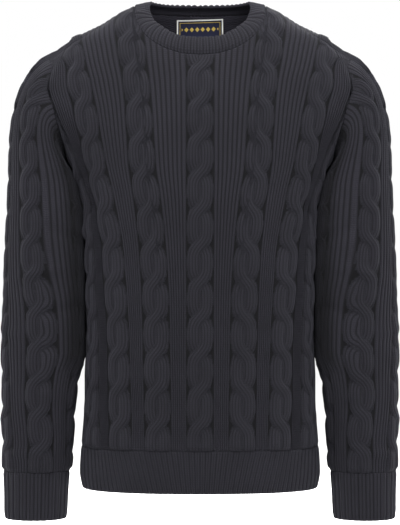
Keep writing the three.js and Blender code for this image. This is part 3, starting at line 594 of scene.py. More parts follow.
@dataclass(frozen=True)
class Relief:
    """Height field of the knit and what the shader reads from it, including painted shade for its low parts."""

    rise: Array
    cross: Array
    sink: Array


@dataclass(frozen=True)
class Rope:
    """A cable of two strands that cross once a period, the rising one on top."""

    period: float
    phase: float
    swing: float = 8.3
    half: float = 8.9
    lift: float = 1.7
    wale: float = 3.9
    # painted shade between the strands, as a share of that in the gutters beside the cable
    pocket: float = 0.3

    def relief(self, across: Array, course: Array, mirrored: Array) -> Relief:
        """Height of the cable.

        Args:
            across: Millimetres from its centre.
            course: Courses.
            mirrored: True where it crosses the other way.

        Returns:
            Its relief.
        """
        u = np.where(mirrored, -across, across)
        v = (course - self.phase) / self.period
        best = np.full(u.shape, -1.0)
        cross = np.zeros(u.shape)
        for strand in (0, 1):
            sway = math.pi / 2 * np.sin(math.pi * (v + strand))
            centre = self.swing * np.sin(sway)
            slope = self.swing * np.cos(sway) * math.pi / 2
            slope = slope * np.cos(math.pi * (v + strand)) * math.pi / self.period
            away = (u - centre) / np.sqrt(1 + slope**2)
            inside = np.abs(away) < self.half
            curve = np.maximum(0.0, 1 - (away / self.half) ** 2) ** 0.62
            over = np.cos(math.pi * (v + strand))
            height = CABLE_HIGH * (0.18 + 0.82 * curve) - self.lift * (1 - over) * np.cos(sway)
            height = np.where(inside, height, -1.0)
            taller = height > best
            best = np.where(taller, height, best)
            cross = np.where(taller, away / self.wale + 40.5 + 20 * strand, cross)
        rise = np.maximum(best, 0.0)
        # Painted shade: darker yarn colour in the gutters beside the cable and less between the strands, fading out
        # where the relief rises
        gutter_shade = mix(self.pocket, 1.0, np.clip((np.abs(u) - 14) / 3, 0, 1))
        return Relief(rise, cross, gutter_shade * np.clip(1 - rise / 2.4, 0, 1))


def rib_relief(lane: Array, high: float) -> Relief:
    """Height of ribs.

    Args:
        lane: Rib numbers; whole numbers are the gutters between ribs.
        high: Height of a rib.

    Returns:
        Their relief.
    """
    off = np.abs(lane - np.floor(lane) - 0.5) * 2
    # Painted shade: darker yarn colour towards the gutters between ribs
    return Relief(high * (1 - off**2), lane, 0.3 * off**3)


def crease_offset(creases: Sequence[Crease], across: Array, along: Array, scale: float) -> Array:
    """Sum of creases.

    Args:
        creases: The creases.
        across: Place across the cloth, in the table's units.
        along: Courses.
        scale: Millimetres in one unit across.

    Returns:
        Offsets along the normal, in millimetres.
    """
    total = np.zeros(across.shape)
    for crease in creases:
        u = (across - crease.across) * scale
        v = along - crease.along
        lean = math.atan(crease.lean)
        far = u * math.cos(lean) + v * math.sin(lean)
        off = v * math.cos(lean) - u * math.sin(lean)
        ends = np.clip(1 - (far / crease.length) ** 2, 0, 1) ** 2
        total += crease.height * ends * np.exp(-((off / crease.width) ** 2))
    return total * CREASE_DEPTH


@dataclass
class Skin:
    """What a lattice of points becomes: places in millimetres and shader values."""

    points: Array
    cross: Array
    along: Array
    # painted shade of the yarn colour; negative values are painted light
    sink: Array
    inside: Array


@dataclass
class Cloth:
    """A cloth wall made from two flat grids joined at their rims, then shaped.

    The lattice position of a vertex is its column, its row and its skin.
    """

    name: str
    columns: int
    rows: int
    ratio: int
    closed: bool

    def build(self, shape: Callable[[Array, Array, Array], Skin], mirrored: bool = False) -> bpy.types.Object:
        """Makes the piece.

        Args:
            shape: Turns columns, rows and the inner flag of all vertices into a skin.
            mirrored: True for the same piece on the other side of the body.

        Returns:
            The object, linked to the scene.
        """
        bm = bmesh.new()
        outer = self._grid(bm, 1, 0.0)
        inner = self._grid(bm, self.ratio, 1.0)
        if self.closed:
            self._weld(bm)
        self._join(bm, outer, inner)
        mesh = bpy.data.meshes.new(self.name)
        bm.to_mesh(mesh)
        bm.free()
        lattice = np.empty(len(mesh.vertices) * 3, np.float32)
        mesh.vertices.foreach_get("co", lattice)
        lattice = lattice.reshape(-1, 3).astype(float)
        skin = shape(lattice[:, 0], lattice[:, 1], lattice[:, 2] > 0.5)
        points = skin.points * MM
        if mirrored:
            points = points * np.array([-1.0, 1.0, 1.0])
        mesh.vertices.foreach_set("co", points.astype(np.float32).ravel())
        for name in ("cross", "along", "sink", "inside"):
            attribute = mesh.attributes.new(name, "FLOAT", "POINT")
            attribute.data.foreach_set("value", getattr(skin, name).astype(np.float32))
        self._face_out(mesh)
        mesh.polygons.foreach_set("use_smooth", np.ones(len(mesh.polygons), bool))
        mesh.update()
        piece = bpy.data.objects.new(self.name, mesh)
        bpy.context.scene.collection.objects.link(piece)
        return piece

    def _grid(self, bm: bmesh.types.BMesh, ratio: int, layer: float) -> list:
        """Adds a flat grid on the lattice; returns its vertices."""
        made = bmesh.ops.create_grid(
            bm, x_segments=self.columns // ratio, y_segments=self.rows // ratio, size=1.0
        )
        for vert in made["verts"]:
            column = round((vert.co.x + 1) / 2 * self.columns)
            row = round((vert.co.y + 1) / 2 * self.rows)
            vert.co = (column, row, layer)
        return made["verts"]

    def _weld(self, bm: bmesh.types.BMesh) -> None:
        """Closes both grids to tubes by welding their last column to the first."""
        first = {(round(v.co.y), round(v.co.z)): v for v in bm.verts if v.co.x < 0.5}
        last = [v for v in bm.verts if v.co.x > self.columns - 0.5]
        targets = {v: first[round(v.co.y), round(v.co.z)] for v in last}
        bmesh.ops.weld_verts(bm, targetmap=targets)

    def _join(self, bm: bmesh.types.BMesh, outer: list, inner: list) -> None:
        """Bridges the rims of the two grids, side by side."""
        bm.edges.ensure_lookup_table()
        rims = [edge for edge in bm.edges if edge.is_boundary]

        def side(axis: int, value: int) -> list:
            return [e for e in rims if all(abs(v.co[axis] - value) < 0.5 for v in e.verts)]

        sides = [side(1, 0), side(1, self.rows)]
        if not self.closed:
            sides += [side(0, 0), side(0, self.columns)]
        for edges in sides:
            bmesh.ops.bridge_loops(bm, edges=edges)
        bmesh.ops.triangulate(bm, faces=[face for face in bm.faces if len(face.verts) > 4])
        bmesh.ops.recalc_face_normals(bm, faces=bm.faces[:])

    def _face_out(self, mesh: bpy.types.Mesh) -> None:
        """Turns the faces outwards if the shaped wall encloses a negative volume."""
        mesh.calc_loop_triangles()
        corners = np.empty(len(mesh.loop_triangles) * 3, np.int32)
        mesh.loop_triangles.foreach_get("vertices", corners)
        places = np.empty(len(mesh.vertices) * 3, np.float32)
        mesh.vertices.foreach_get("co", places)
        a, b, c = places.reshape(-1, 3)[corners.reshape(-1, 3)].transpose(1, 0, 2).astype(float)
        if (a * np.cross(b, c)).sum() < 0:
            mesh.flip_normals()


@dataclass
class Column:
    """A column of a lattice between two places beside cables."""

    left_cable: int
    left_across: float
    right_cable: int
    right_across: float
    share: float
    across: float
    lane: float
    is_rib: bool


def pressed(course: Array, beside: Array) -> Array:
    """How much of the relief is left where sleeve and torso press on each other.

    Args:
        course: Courses.
        beside: Above one inside the pressed strip, below zero outside it.

    Returns:
        The share that is left.
    """
    low = np.clip((course - PRESS_TOP) / PRESS_SPAN, 0, 1)
    return 1 - (1 - PRESS_LEFT) * low * np.clip(beside, 0, 1)


def to_row(points: Array, row: Array) -> Array:
    """Distance of each point of a grid from a row of points.

    Args:
        points: Points (row, column, xyz).
        row: The other points (place, xyz).

    Returns:
        Distances (row, column).
    """
    return np.stack([
        np.linalg.norm(line[:, None] - row[None], axis=-1).min(axis=1) for line in points
    ])


def round_edge(distance: Array, wall: float, radius: float = 1.3) -> Array:
    """How far a skin sinks towards the middle of its wall near a free edge.

    Args:
        distance: Distance from the edge.
        wall: Thickness of the wall there.
        radius: Where the rounding starts.

    Returns:
        Depth below the skin.
    """
    near = np.clip(1 - distance / radius, 0, 1)
    return wall / 2 * (1 - np.sqrt(1 - near**2)) * 0.85


class BodyPanel:
    """Front or back of the body, from the hem seam to the neck and the armholes."""

    CABLE_STEPS = 24
    RIB_STEPS = 4
    ARM_RIB_STEPS = 8
    ROWS = 216
    RATIO = 4
    SEAM_FADE = 10.0
    NECK_FADE = 4.0
    RIDGE_FADE = 22.0
    RIDGE_LEFT = 0.5
    CORNER_START = 0.95
    CORNER_SPAN = 0.3
    CORNER_LEFT = 0.1

    def __init__(self, form: BodyForm, side: Side) -> None:
        """Plans the columns.

        Args:
            form: The torso.
            side: Front or back.
        """
        self.form = form
        self.side = side
        self.columns = self._columns()
        self.tops = self._tops()

    def _columns(self) -> list[Column]:
        """Lists the columns from the left side seam to the right one."""
        half = CABLE_HALF
        found = []
        side = self.RIB_STEPS * SIDE_RIBS
        for j in range(side):
            lane = j / self.RIB_STEPS
            found.append(Column(-99, 0, -LAST_CABLE, -half, j / side, 0, lane, True))
        for cable in range(-LAST_CABLE, LAST_CABLE + 1):
            for j in range(self.CABLE_STEPS):
                across = mix(-half, half, j / self.CABLE_STEPS)
                found.append(Column(cable, across, cable, across, 0, across, 0, False))
            if cable == LAST_CABLE:
                break
            per = self.ARM_RIB_STEPS if cable in (-3, 2) else self.RIB_STEPS
            count = per * PANEL_RIBS
            for j in range(count):
                found.append(Column(cable, half, cable + 1, -half, j / count, 0, j / per, True))
        for j in range(side + 1):
            lane = j / self.RIB_STEPS
            found.append(Column(LAST_CABLE, half, 99, 0, j / side, 0, lane, True))
        return found

    def _anchor(self, cable: int, across: float, course: Array) -> Array:
        """Wale number of one end of a lane, or of the side seam."""
        if abs(cable) > LAST_CABLE:
            return np.full(np.shape(course), math.copysign(K_SIDE, cable))
        return self.form.edge(cable, across, course)

    def wales(self, course: Array) -> Array:
        """Wale numbers of the columns at courses.

        Args:
            course: Courses (row, column).

        Returns:
            Wale numbers of the same shape.
        """
        found = np.empty(course.shape)
        for i, column in enumerate(self.columns):
            left = self._anchor(column.left_cable, column.left_across, course[:, i])
            right = self._anchor(column.right_cable, column.right_across, course[:, i])
            found[:, i] = mix(left, right, column.share)
        return found

    def _tops(self) -> Array:
        """Course at which each column ends."""
        count = len(self.columns)
        at_yoke = self.wales(np.full((1, count), YOKE))[0]
        tops = self.form.top_course(at_yoke, self.side)
        low, high = np.full(count, HEM_TOP), np.full(count, YOKE)
        for _ in range(30):
            middle = (low + high) / 2
            size = np.abs(self.wales(middle[None])[0])
            ends = np.where(size < K_ARM, 0.0, self.form.armhole.at("value", size))
            low, high = np.where(middle < ends, middle, low), np.where(middle < ends, high, middle)
        return np.where(tops >= YOKE, tops, low)

    def build(self) -> bpy.types.Object:
        """Makes the panel.

        Returns:
            Its object.
        """
        bottom = HEM_TOP + SEAM_GAP / 2
        share = np.linspace(0.0, 1.0, self.ROWS + 1)[:, None]
        course = mix(bottom, self.tops[None], share)
        k = self.wales(course)
        base = self.form.place(k, course, self.side)
        normal = self.form.normal(base)
        base[-1] = self._seam_row(base[-1], normal[-1])
        base[:, [0, -1], 1] += (-1 if self.side is Side.FRONT else 1) * SEAM_GAP / 2
        relief = self._relief(course)
        off_seam = to_row(base, base[-1])
        fade = self._fade(k, course, base[..., 2], off_seam)
        creases = self._creases(k, course, off_seam)
        outer = base + normal * (relief.rise * fade + creases)[..., None]
        inner = base + normal * (creases - WALL)[..., None]
        # Painted shadow in the crevice beside the sleeve, added to the painted shade of the relief
        sink = relief.sink + CREVICE_PAINTED_SHADE * (1 - self._side(k, course))

        def shape(column: Array, row: Array, is_inner: Array) -> Skin:
            i, j = row.astype(int), column.astype(int)
            points = np.where(is_inner[:, None], inner[i, j], outer[i, j])
            # inner skin: painted light; outer skin: painted shade of the relief and of the crevice
            dark = np.where(is_inner, INSIDE_PAINTED_LIGHT, sink[i, j])
            return Skin(points, relief.cross[i, j], course[i, j], dark, is_inner.astype(float))

        cloth = Cloth(f"{self.side.value}_knit", len(self.columns) - 1, self.ROWS, self.RATIO, False)
        return cloth.build(shape)

    def _seam_row(self, points: Array, normal: Array) -> Array:
        """Moves the top row into the panel by half a seam gap."""
        inward = unit(np.cross(np.gradient(points, axis=0), normal))
        if self.side is Side.BACK:
            inward = -inward
        return points + inward * SEAM_GAP / 2

    def _relief(self, course: Array) -> Relief:
        """Relief of the whole panel, cables and ribs."""
        is_rib = np.array([column.is_rib for column in self.columns])[None]
        across = np.array([column.across for column in self.columns])[None] + 0 * course
        lane = np.array([column.lane for column in self.columns])[None] + 0 * course
        mirrored = np.array([column.left_cable > 0 for column in self.columns])[None]
        rope = Rope(CABLE_PERIOD, CABLE_PHASE).relief(across, course, mirrored)
        ribs = rib_relief(lane, RIB_HIGH)
        return Relief(
            np.where(is_rib, ribs.rise, rope.rise),
            np.where(is_rib, ribs.cross, rope.cross),
            np.where(is_rib, ribs.sink, rope.sink),
        )

    def _side(self, k: Array, course: Array) -> Array:
        """How much of the relief is left beside a sleeve; the rest also sets the painted shadow there."""
        side = pressed(course, (np.abs(k) - 3.25) / 0.12)
        return np.where(self.tops[None] < YOKE, side, 1.0)

    def _fade(self, k: Array, course: Array, z: Array, off_seam: Array) -> Array:
        """How much of the relief is left near the seams, the ridge and the sleeves."""
        reach = mix(self.NECK_FADE, self.SEAM_FADE, np.clip((np.abs(k) - 0.65) / 0.2, 0, 1))
        to_top = np.clip(off_seam / reach, 0.12, 1)
        to_ridge = np.clip((z.max(axis=0)[None] - z) / self.RIDGE_FADE, 0, 1)
        beside_neck = np.clip((np.abs(k) - self.CORNER_START) / self.CORNER_SPAN, 0, 1)
        left = mix(self.CORNER_LEFT, self.RIDGE_LEFT, beside_neck)
        ridge = np.where(self.tops[None] > YOKE, mix(left, 1.0, to_ridge), 1.0)
        hem = np.clip((course - HEM_TOP) / 5, 0.3, 1)
        return np.minimum(to_top, hem) * ridge * self._side(k, course)

    def _creases(self, k: Array, course: Array, off_seam: Array) -> Array:
        """Soft folds of both halves, faded out at the seams."""
        left = crease_offset(PANEL_CREASES, k, course, 55.0)
        right = crease_offset(PANEL_CREASES, -k, course + 11, 55.0)
        to_hem = np.clip((course - HEM_TOP) / 20, 0, 1)
        to_side = np.clip((K_SIDE - np.abs(k)) / 0.3, 0, 1)
        return (left + right) * np.clip(off_seam / 30, 0, 1) * to_hem * to_side


@dataclass
class Seam:
    """Dense line along the upper edge of a panel."""

    k: Array
    points: Array
    normal: Array
    inward: Array


class Edges:
    """The seam lines of both panels, for the sleeves and the collar."""

    def __init__(self, form: BodyForm) -> None:
        """Walks the upper edges.

        Args:
            form: The torso.
        """
        self.form = form
        self.lines = {side: self._walk(side) for side in Side}

    def _walk(self, side: Side) -> Seam:
        """Follows the upper edge of one panel from left to right."""
        stops = (-K_SIDE, -K_ARM, -K_TIP, -K_NECK, 0.0, K_NECK, K_TIP, K_ARM, K_SIDE)
        steps = (60, 60, 60, 60, 60, 60, 60, 60)
        parts = [np.linspace(a, b, n, endpoint=False) for a, b, n in zip(stops, stops[1:], steps)]
        k = np.concatenate(parts + [np.array([K_SIDE])])
        tops = self.form.top_course(k, side)
        course = np.stack([np.full(k.shape, HEM_TOP), tops])
        points = self.form.place(np.stack([k, k]), course, side)[-1]
        normal = self.form.normal(points)
        inward = unit(np.cross(np.gradient(points, axis=0), normal))
        if side is Side.BACK:
            inward = -inward
        return Seam(k, points, normal, inward)


class Sleeve:
    """The left sleeve; the right one is its mirror image."""

    CABLE_STEPS = 24
    RIB_STEPS = 4
    ROWS = 216
    RATIO = 4
    CAP_STEPS = 48

    def __init__(self, edges: Edges) -> None:
        """Finds the armhole ring.

        Args:
            edges: The panels' upper edges.
        """
        self.slices = Curves(SLEEVE)
        self.form = edges.form
        self.turns, self.ring, self.soft_ring, self.leaving = self._arm_ring(edges)

    def _arm_ring(self, edges: Edges) -> tuple[Array, Array, Array, Array]:
        """Ring from the underarm over the back and the shoulder and down the front."""
        back, front = edges.lines[Side.BACK], edges.lines[Side.FRONT]
        behind = back.k <= -K_TIP + 1e-6
        before = front.k < -K_TIP - 1e-3
        parts = []
        for name in ("points", "normal", "inward"):
            a, b = getattr(back, name)[behind], getattr(front, name)[before][::-1]
            parts.append(np.concatenate([a, b])[:-1])
        points, normal, inward = parts
        steps = np.linalg.norm(np.roll(points, -1, axis=0) - points, axis=-1)
        lengths = np.concatenate([[0.0], np.cumsum(steps)])
        high = int(np.argmax(points[:, 2]))
        rising = mix(-270.0, -90.0, lengths[:-1] / lengths[high])
        falling = mix(-90.0, 90.0, (lengths[:-1] - lengths[high]) / (lengths[-1] - lengths[high]))
        turns = np.where(np.arange(len(points)) <= high, rising, falling)
        tangent = np.roll(points, -1, axis=0) - np.roll(points, 1, axis=0)
        across = unit(np.cross(normal, tangent))
        across *= np.sign((across * inward).sum(-1, keepdims=True))
        for _ in range(3):
            across = unit(across + np.roll(across, 1, axis=0) + np.roll(across, -1, axis=0))
        under = (1 + np.sin(np.radians(turns))) / 2
        fold = np.radians(FOLD_TOP + (FOLD_UNDER - FOLD_TOP) * under**2)[:, None]
        apart = -across * np.cos(fold / 2) + normal * np.sin(fold / 2)
        leaving = -across * np.cos(fold) + normal * np.sin(fold)
        along = np.abs(lengths[:-1, None] - lengths[None, :-1])
        along = np.minimum(along, lengths[-1] - along)
        near = np.exp(-((along / LEAVE_BLUR) ** 2)) * steps[None]
        near /= near.sum(axis=1, keepdims=True)
        ring = points + apart * SEAM_GAP * 0.8
        return turns, ring, near @ ring, unit(near @ leaving)

    def tube(self, turn: Array, z: Array) -> Array:
        """Points of the straight part of the sleeve.

        Args:
            turn: Degrees from the front, growing towards the torso.
            z: Heights of the same shape.

        Returns:
            Points.
        """
        across, ahead = np.sin(np.radians(turn)), np.cos(np.radians(turn))
        bend = np.where(across > 0, 2 / self.slices.at("power", z), 1.0)
        wide = np.where(across > 0, self.slices.at("inner", z), self.slices.at("wide", z))
        x = -self.slices.at("x", z) + wide * np.sign(across) * np.abs(across) ** bend
        y = self.slices.at("y", z) - self.slices.at("deep", z) * np.sign(ahead) * np.abs(ahead) ** bend
        limit = -self.form.side_at(y, z) - self.slices.at("clear", z)
        return np.stack([np.minimum(x, limit), y, z], axis=-1)

    def cap(self, turn: Array) -> tuple[Array, Array]:
        """Paths of wales from the head of the tube to the armhole.

        Args:
            turn: Degrees, one a wale.

        Returns:
            Points (wale, step, xyz) and the course at each.
        """
        wrapped = (turn + 270) % 360 - 270
        turns = np.concatenate([self.turns, [90.0]])

        def on_ring(values: Array) -> Array:
            looped = np.concatenate([values, values[:1]])
            return np.stack([np.interp(wrapped, turns, looped[:, i]) for i in range(3)], axis=-1)

        end, leave = on_ring(self.soft_ring), unit(on_ring(self.leaving))
        shift = on_ring(self.ring) - end
        head = np.full(turn.shape, SLEEVE_HEAD)
        start = self.tube(turn, head)
        reach = np.linalg.norm(end - start, axis=-1, keepdims=True)
        up = unit(start - self.tube(turn, head - 5)) * reach * CAP_RISE
        t = np.linspace(0, 1, self.CAP_STEPS + 1)[None, :, None]
        t2, t3 = t * t, t * t * t
        points = (
            start[:, None] * (2 * t3 - 3 * t2 + 1) + up[:, None] * (t3 - 2 * t2 + t)
            + end[:, None] * (3 * t2 - 2 * t3) - (leave * reach * CAP_ARRIVE)[:, None] * (t3 - t2)
            + shift[:, None] * t2**2
        )
        outside = np.clip(-np.sin(np.radians(turn)), 0, 1)[:, None] * np.sin(math.pi * t[..., 0]) ** 2
        points = points + CAP_PUFF * outside[..., None] * np.array([-0.9, 0.0, 0.45])
        lengths = np.linalg.norm(np.diff(points, axis=1), axis=-1)
        zero = np.zeros((len(turn), 1))
        return points, SLEEVE_HEAD + np.concatenate([zero, np.cumsum(lengths, axis=1)], axis=1)

    def _turn(self, cable: float, across: float, course: Array) -> Array:
        """Turn at a distance beside a cable's centre."""
        z = np.minimum(course, SLEEVE_HEAD)
        radius = (self.slices.at("wide", z) + self.slices.at("deep", z)) / 2
        return -self.slices.at("turn", z) + 360 / SLEEVE_CABLES * cable + np.degrees(across / radius)

    def _columns(self) -> list[Column]:
        """Lists the columns once round, from the left edge of cable -3."""
        half = CABLE_HALF
        found = []
        for cable in range(-3, SLEEVE_CABLES - 3):
            for j in range(self.CABLE_STEPS):
                across = mix(-half, half, j / self.CABLE_STEPS)
                found.append(Column(cable, across, cable, across, 0, across, 0, False))
            count = self.RIB_STEPS * SLEEVE_RIBS
            for j in range(count):
                lane = j / self.RIB_STEPS
                found.append(Column(cable, half, cable + 1, -half, j / count, 0, lane, True))
        return found

    def _turns(self, columns: Sequence[Column], course: Array) -> Array:
        """Turns of the columns at courses (row, column)."""
        found = np.empty(course.shape)
        for i, column in enumerate(columns):
            left = self._turn(column.left_cable, column.left_across, course[:, i])
            right = self._turn(column.right_cable, column.right_across, course[:, i])
            found[:, i] = mix(left, right, column.share)
        return found

    def build(self, mirrored: bool) -> bpy.types.Object:
        """Makes a sleeve.

        Args:
            mirrored: True for the right sleeve.

        Returns:
            Its object.
        """
        columns = self._columns()
        count = len(columns)
        head = self._turns(columns, np.full((1, count), SLEEVE_HEAD))[0]
        paths, path_courses = self.cap(head)
        tops = path_courses[:, -1]
        share = np.linspace(0.0, 1.0, self.ROWS + 1)[:, None]
        course = mix(CUFF_TOP + SEAM_GAP / 2, tops[None], share)
        turn = self._turns(columns, course)
        base = self.tube(turn, np.minimum(course, SLEEVE_HEAD))
        for i in range(count):
            rows = np.flatnonzero(course[:, i] > SLEEVE_HEAD)
            for axis in range(3):
                base[rows, i, axis] = np.interp(course[rows, i], path_courses[i], paths[i, :, axis])
        normal = self._normals(base)
        relief = self._relief(columns, course)
        to_top = np.clip((tops[None] - course) / 36, 0.1, 1)
        beside = pressed(course, (60 - np.abs((turn - 90 + 540) % 360 - 180)) / 15)
        fade = np.minimum(to_top, np.clip((course - CUFF_TOP) / 5, 0.3, 1)) * beside
        # Painted shadow on the inner side of the sleeve, in the crevice against the torso
        shade = pressed(course, (72 - np.abs((turn - 90 + 540) % 360 - 180)) / 16)
        sink = relief.sink + CREVICE_PAINTED_SHADE * (1 - shade)
        creases = crease_offset(SLEEVE_CREASES, turn, course, 0.9)
        creases *= np.clip((tops[None] - course) / 60, 0, 1) * np.clip((course - CUFF_TOP) / 9, 0, 1)
        outer = base + normal * (relief.rise * fade + creases)[..., None]
        inner = base + normal * (creases - WALL)[..., None]

        def shape(column: Array, row: Array, is_inner: Array) -> Skin:
            i, j = row.astype(int), column.astype(int) % count
            points = np.where(is_inner[:, None], inner[i, j], outer[i, j])
            # inner skin: painted light; outer skin: painted shade of the relief and of the crevice
            dark = np.where(is_inner, INSIDE_PAINTED_LIGHT, sink[i, j])
            return Skin(points, relief.cross[i, j], course[i, j], dark, is_inner.astype(float))

        name = "right_sleeve_knit" if mirrored else "left_sleeve_knit"
        return Cloth(name, count, self.ROWS, self.RATIO, True).build(shape, mirrored)

    def _normals(self, base: Array) -> Array:
        """Outward normals of a closed grid of points."""
        across = np.roll(base, -1, axis=1) - np.roll(base, 1, axis=1)
        return unit(np.cross(across, np.gradient(base, axis=0)))

    def _relief(self, columns: Sequence[Column], course: Array) -> Relief:
        """Relief of the sleeve, cables and ribs."""
        is_rib = np.array([column.is_rib for column in columns])[None]
        across = np.array([column.across for column in columns])[None] + 0 * course
        lane = np.array([column.lane for column in columns])[None] + 0 * course
        rope = Rope(SLEEVE_PERIOD, SLEEVE_PHASE).relief(across, course, np.zeros(across.shape, bool))
        ribs = rib_relief(lane, RIB_HIGH)
        return Relief(
            np.where(is_rib, ribs.rise, rope.rise),
            np.where(is_rib, ribs.cross, rope.cross),
            np.where(is_rib, ribs.sink, rope.sink),
        )


def near_edge_rows(start: float, end: float, count: int, radius: float) -> Array:
    """Even rows with three more close to the free edge.

    Args:
        start: The free edge.
        end: The other edge.
        count: Number of even steps.
        radius: Width of the rounding at the free edge.

    Returns:
        Row places from start to end.
    """
    close = np.sign(end - start) * radius * np.array([0.0, 0.12, 0.45])
    even = np.linspace(start + close[-1] / 0.45, end, count - len(close))
    return np.concatenate([start + close, even])


class Cuff:
    """Ribbed cuff of the left sleeve, with its edge rounded."""

    RIB_STEPS = 8
    ROWS = 28
    RATIO = 4

    def __init__(self, sleeve: Sleeve) -> None:
        """Keeps the sleeve that it continues.

        Args:
            sleeve: The sleeve.
        """
        self.sleeve = sleeve

    def build(self, mirrored: bool) -> bpy.types.Object:
        """Makes a cuff.

        Args:
            mirrored: True for the right cuff.

        Returns:
            Its object.
        """
        count = CUFF_RIBS * self.RIB_STEPS
        z = near_edge_rows(CUFF_BOTTOM, CUFF_TOP - SEAM_GAP / 2, self.ROWS + 1, 1.3)[:, None]
        lane = np.arange(count)[None] / self.RIB_STEPS + 0 * z
        turn = lane * 360 / CUFF_RIBS
        z = z + 0 * lane
        base = self.sleeve.tube(turn, z)
        normal = self.sleeve._normals(base)
        relief = rib_relief(lane, BAND_RISE * 1.15)
        seam = np.clip((CUFF_TOP - z) / 4, 0.4, 1)
        low = round_edge(z - CUFF_BOTTOM, WALL)
        pinch = -1.6 * np.clip(1 - (z - CUFF_BOTTOM) / 14, 0, 1) ** 2
        outer = base + normal * (relief.rise * seam - low + pinch)[..., None]
        inner = base + normal * (low - WALL + pinch)[..., None]

        def shape(column: Array, row: Array, is_inner: Array) -> Skin:
            i, j = row.astype(int), column.astype(int) % count
            points = np.where(is_inner[:, None], inner[i, j], outer[i, j])
            # inner skin: painted light; outer skin: painted shade of the relief
            dark = np.where(is_inner, INSIDE_PAINTED_LIGHT, relief.sink[i, j])
            return Skin(points, 2 * lane[i, j], z[i, j], dark, is_inner.astype(float))

        name = "right_cuff_rib" if mirrored else "left_cuff_rib"
        return Cloth(name, count, self.ROWS, self.RATIO, True).build(shape, mirrored)


class Hem:
    """Ribbed hem all round the body."""

    RIB_STEPS = 6
    ROWS = 24
    RATIO = 4

    def __init__(self, form: BodyForm) -> None:
        """Keeps the torso.

        Args:
            form: The torso.
        """
        self.form = form

    def build(self) -> bpy.types.Object:
        """Makes the hem.

        Returns:
            Its object.
        """
        count = HEM_RIBS * self.RIB_STEPS
        rows = near_edge_rows(HEM_BOTTOM, HEM_TOP - SEAM_GAP / 2, self.ROWS + 1, 1.3)[:, None]
        lane = np.arange(count)[None] / self.RIB_STEPS + 0 * rows
        z = rows + 0 * lane
        slant = (HEM_TOP - z) / (HEM_TOP - HEM_BOTTOM)
        base = self._round(lane / HEM_RIBS * 4 * K_SIDE - 2 * K_SIDE, z, slant)
        normal = self.form.normal(base)
        normal[..., 2] = 0
        normal = unit(normal)
        relief = rib_relief(lane, BAND_RISE)
        seam = np.clip((HEM_TOP - z) / 4, 0.4, 1)
        low = round_edge(z - HEM_BOTTOM, WALL)
        outer = base + normal * (relief.rise * seam - low)[..., None]
        inner = base + normal * (low - WALL)[..., None]

        def shape(column: Array, row: Array, is_inner: Array) -> Skin:
            i, j = row.astype(int), column.astype(int) % count
            points = np.where(is_inner[:, None], inner[i, j], outer[i, j])
            # inner skin: painted light; outer skin: painted shade of the relief
            dark = np.where(is_inner, INSIDE_PAINTED_LIGHT, relief.sink[i, j])
            return Skin(points, 2 * lane[i, j], z[i, j], dark, is_inner.astype(float))

        return Cloth("hem_rib_knit", count, self.ROWS, self.RATIO, True).build(shape)

    def _round(self, place: Array, z: Array, slant: Array) -> Array:
        """Torso points for places round the garment; the front runs from -3.75 to 3.75."""
        wrapped = np.where(place > K_SIDE, place - 4 * K_SIDE, place)
        front = (wrapped >= -K_SIDE) & (wrapped <= K_SIDE)
        k = np.where(front, wrapped, -2 * K_SIDE - wrapped)
        k = np.clip(k - HEM_SLANT * slant * np.sin(math.pi * k / K_SIDE) / 60, -K_SIDE, K_SIDE)
        ahead, behind = self.form.point(k, z, Side.FRONT), self.form.point(k, z, Side.BACK)
        return np.where(front[..., None], ahead, behind)


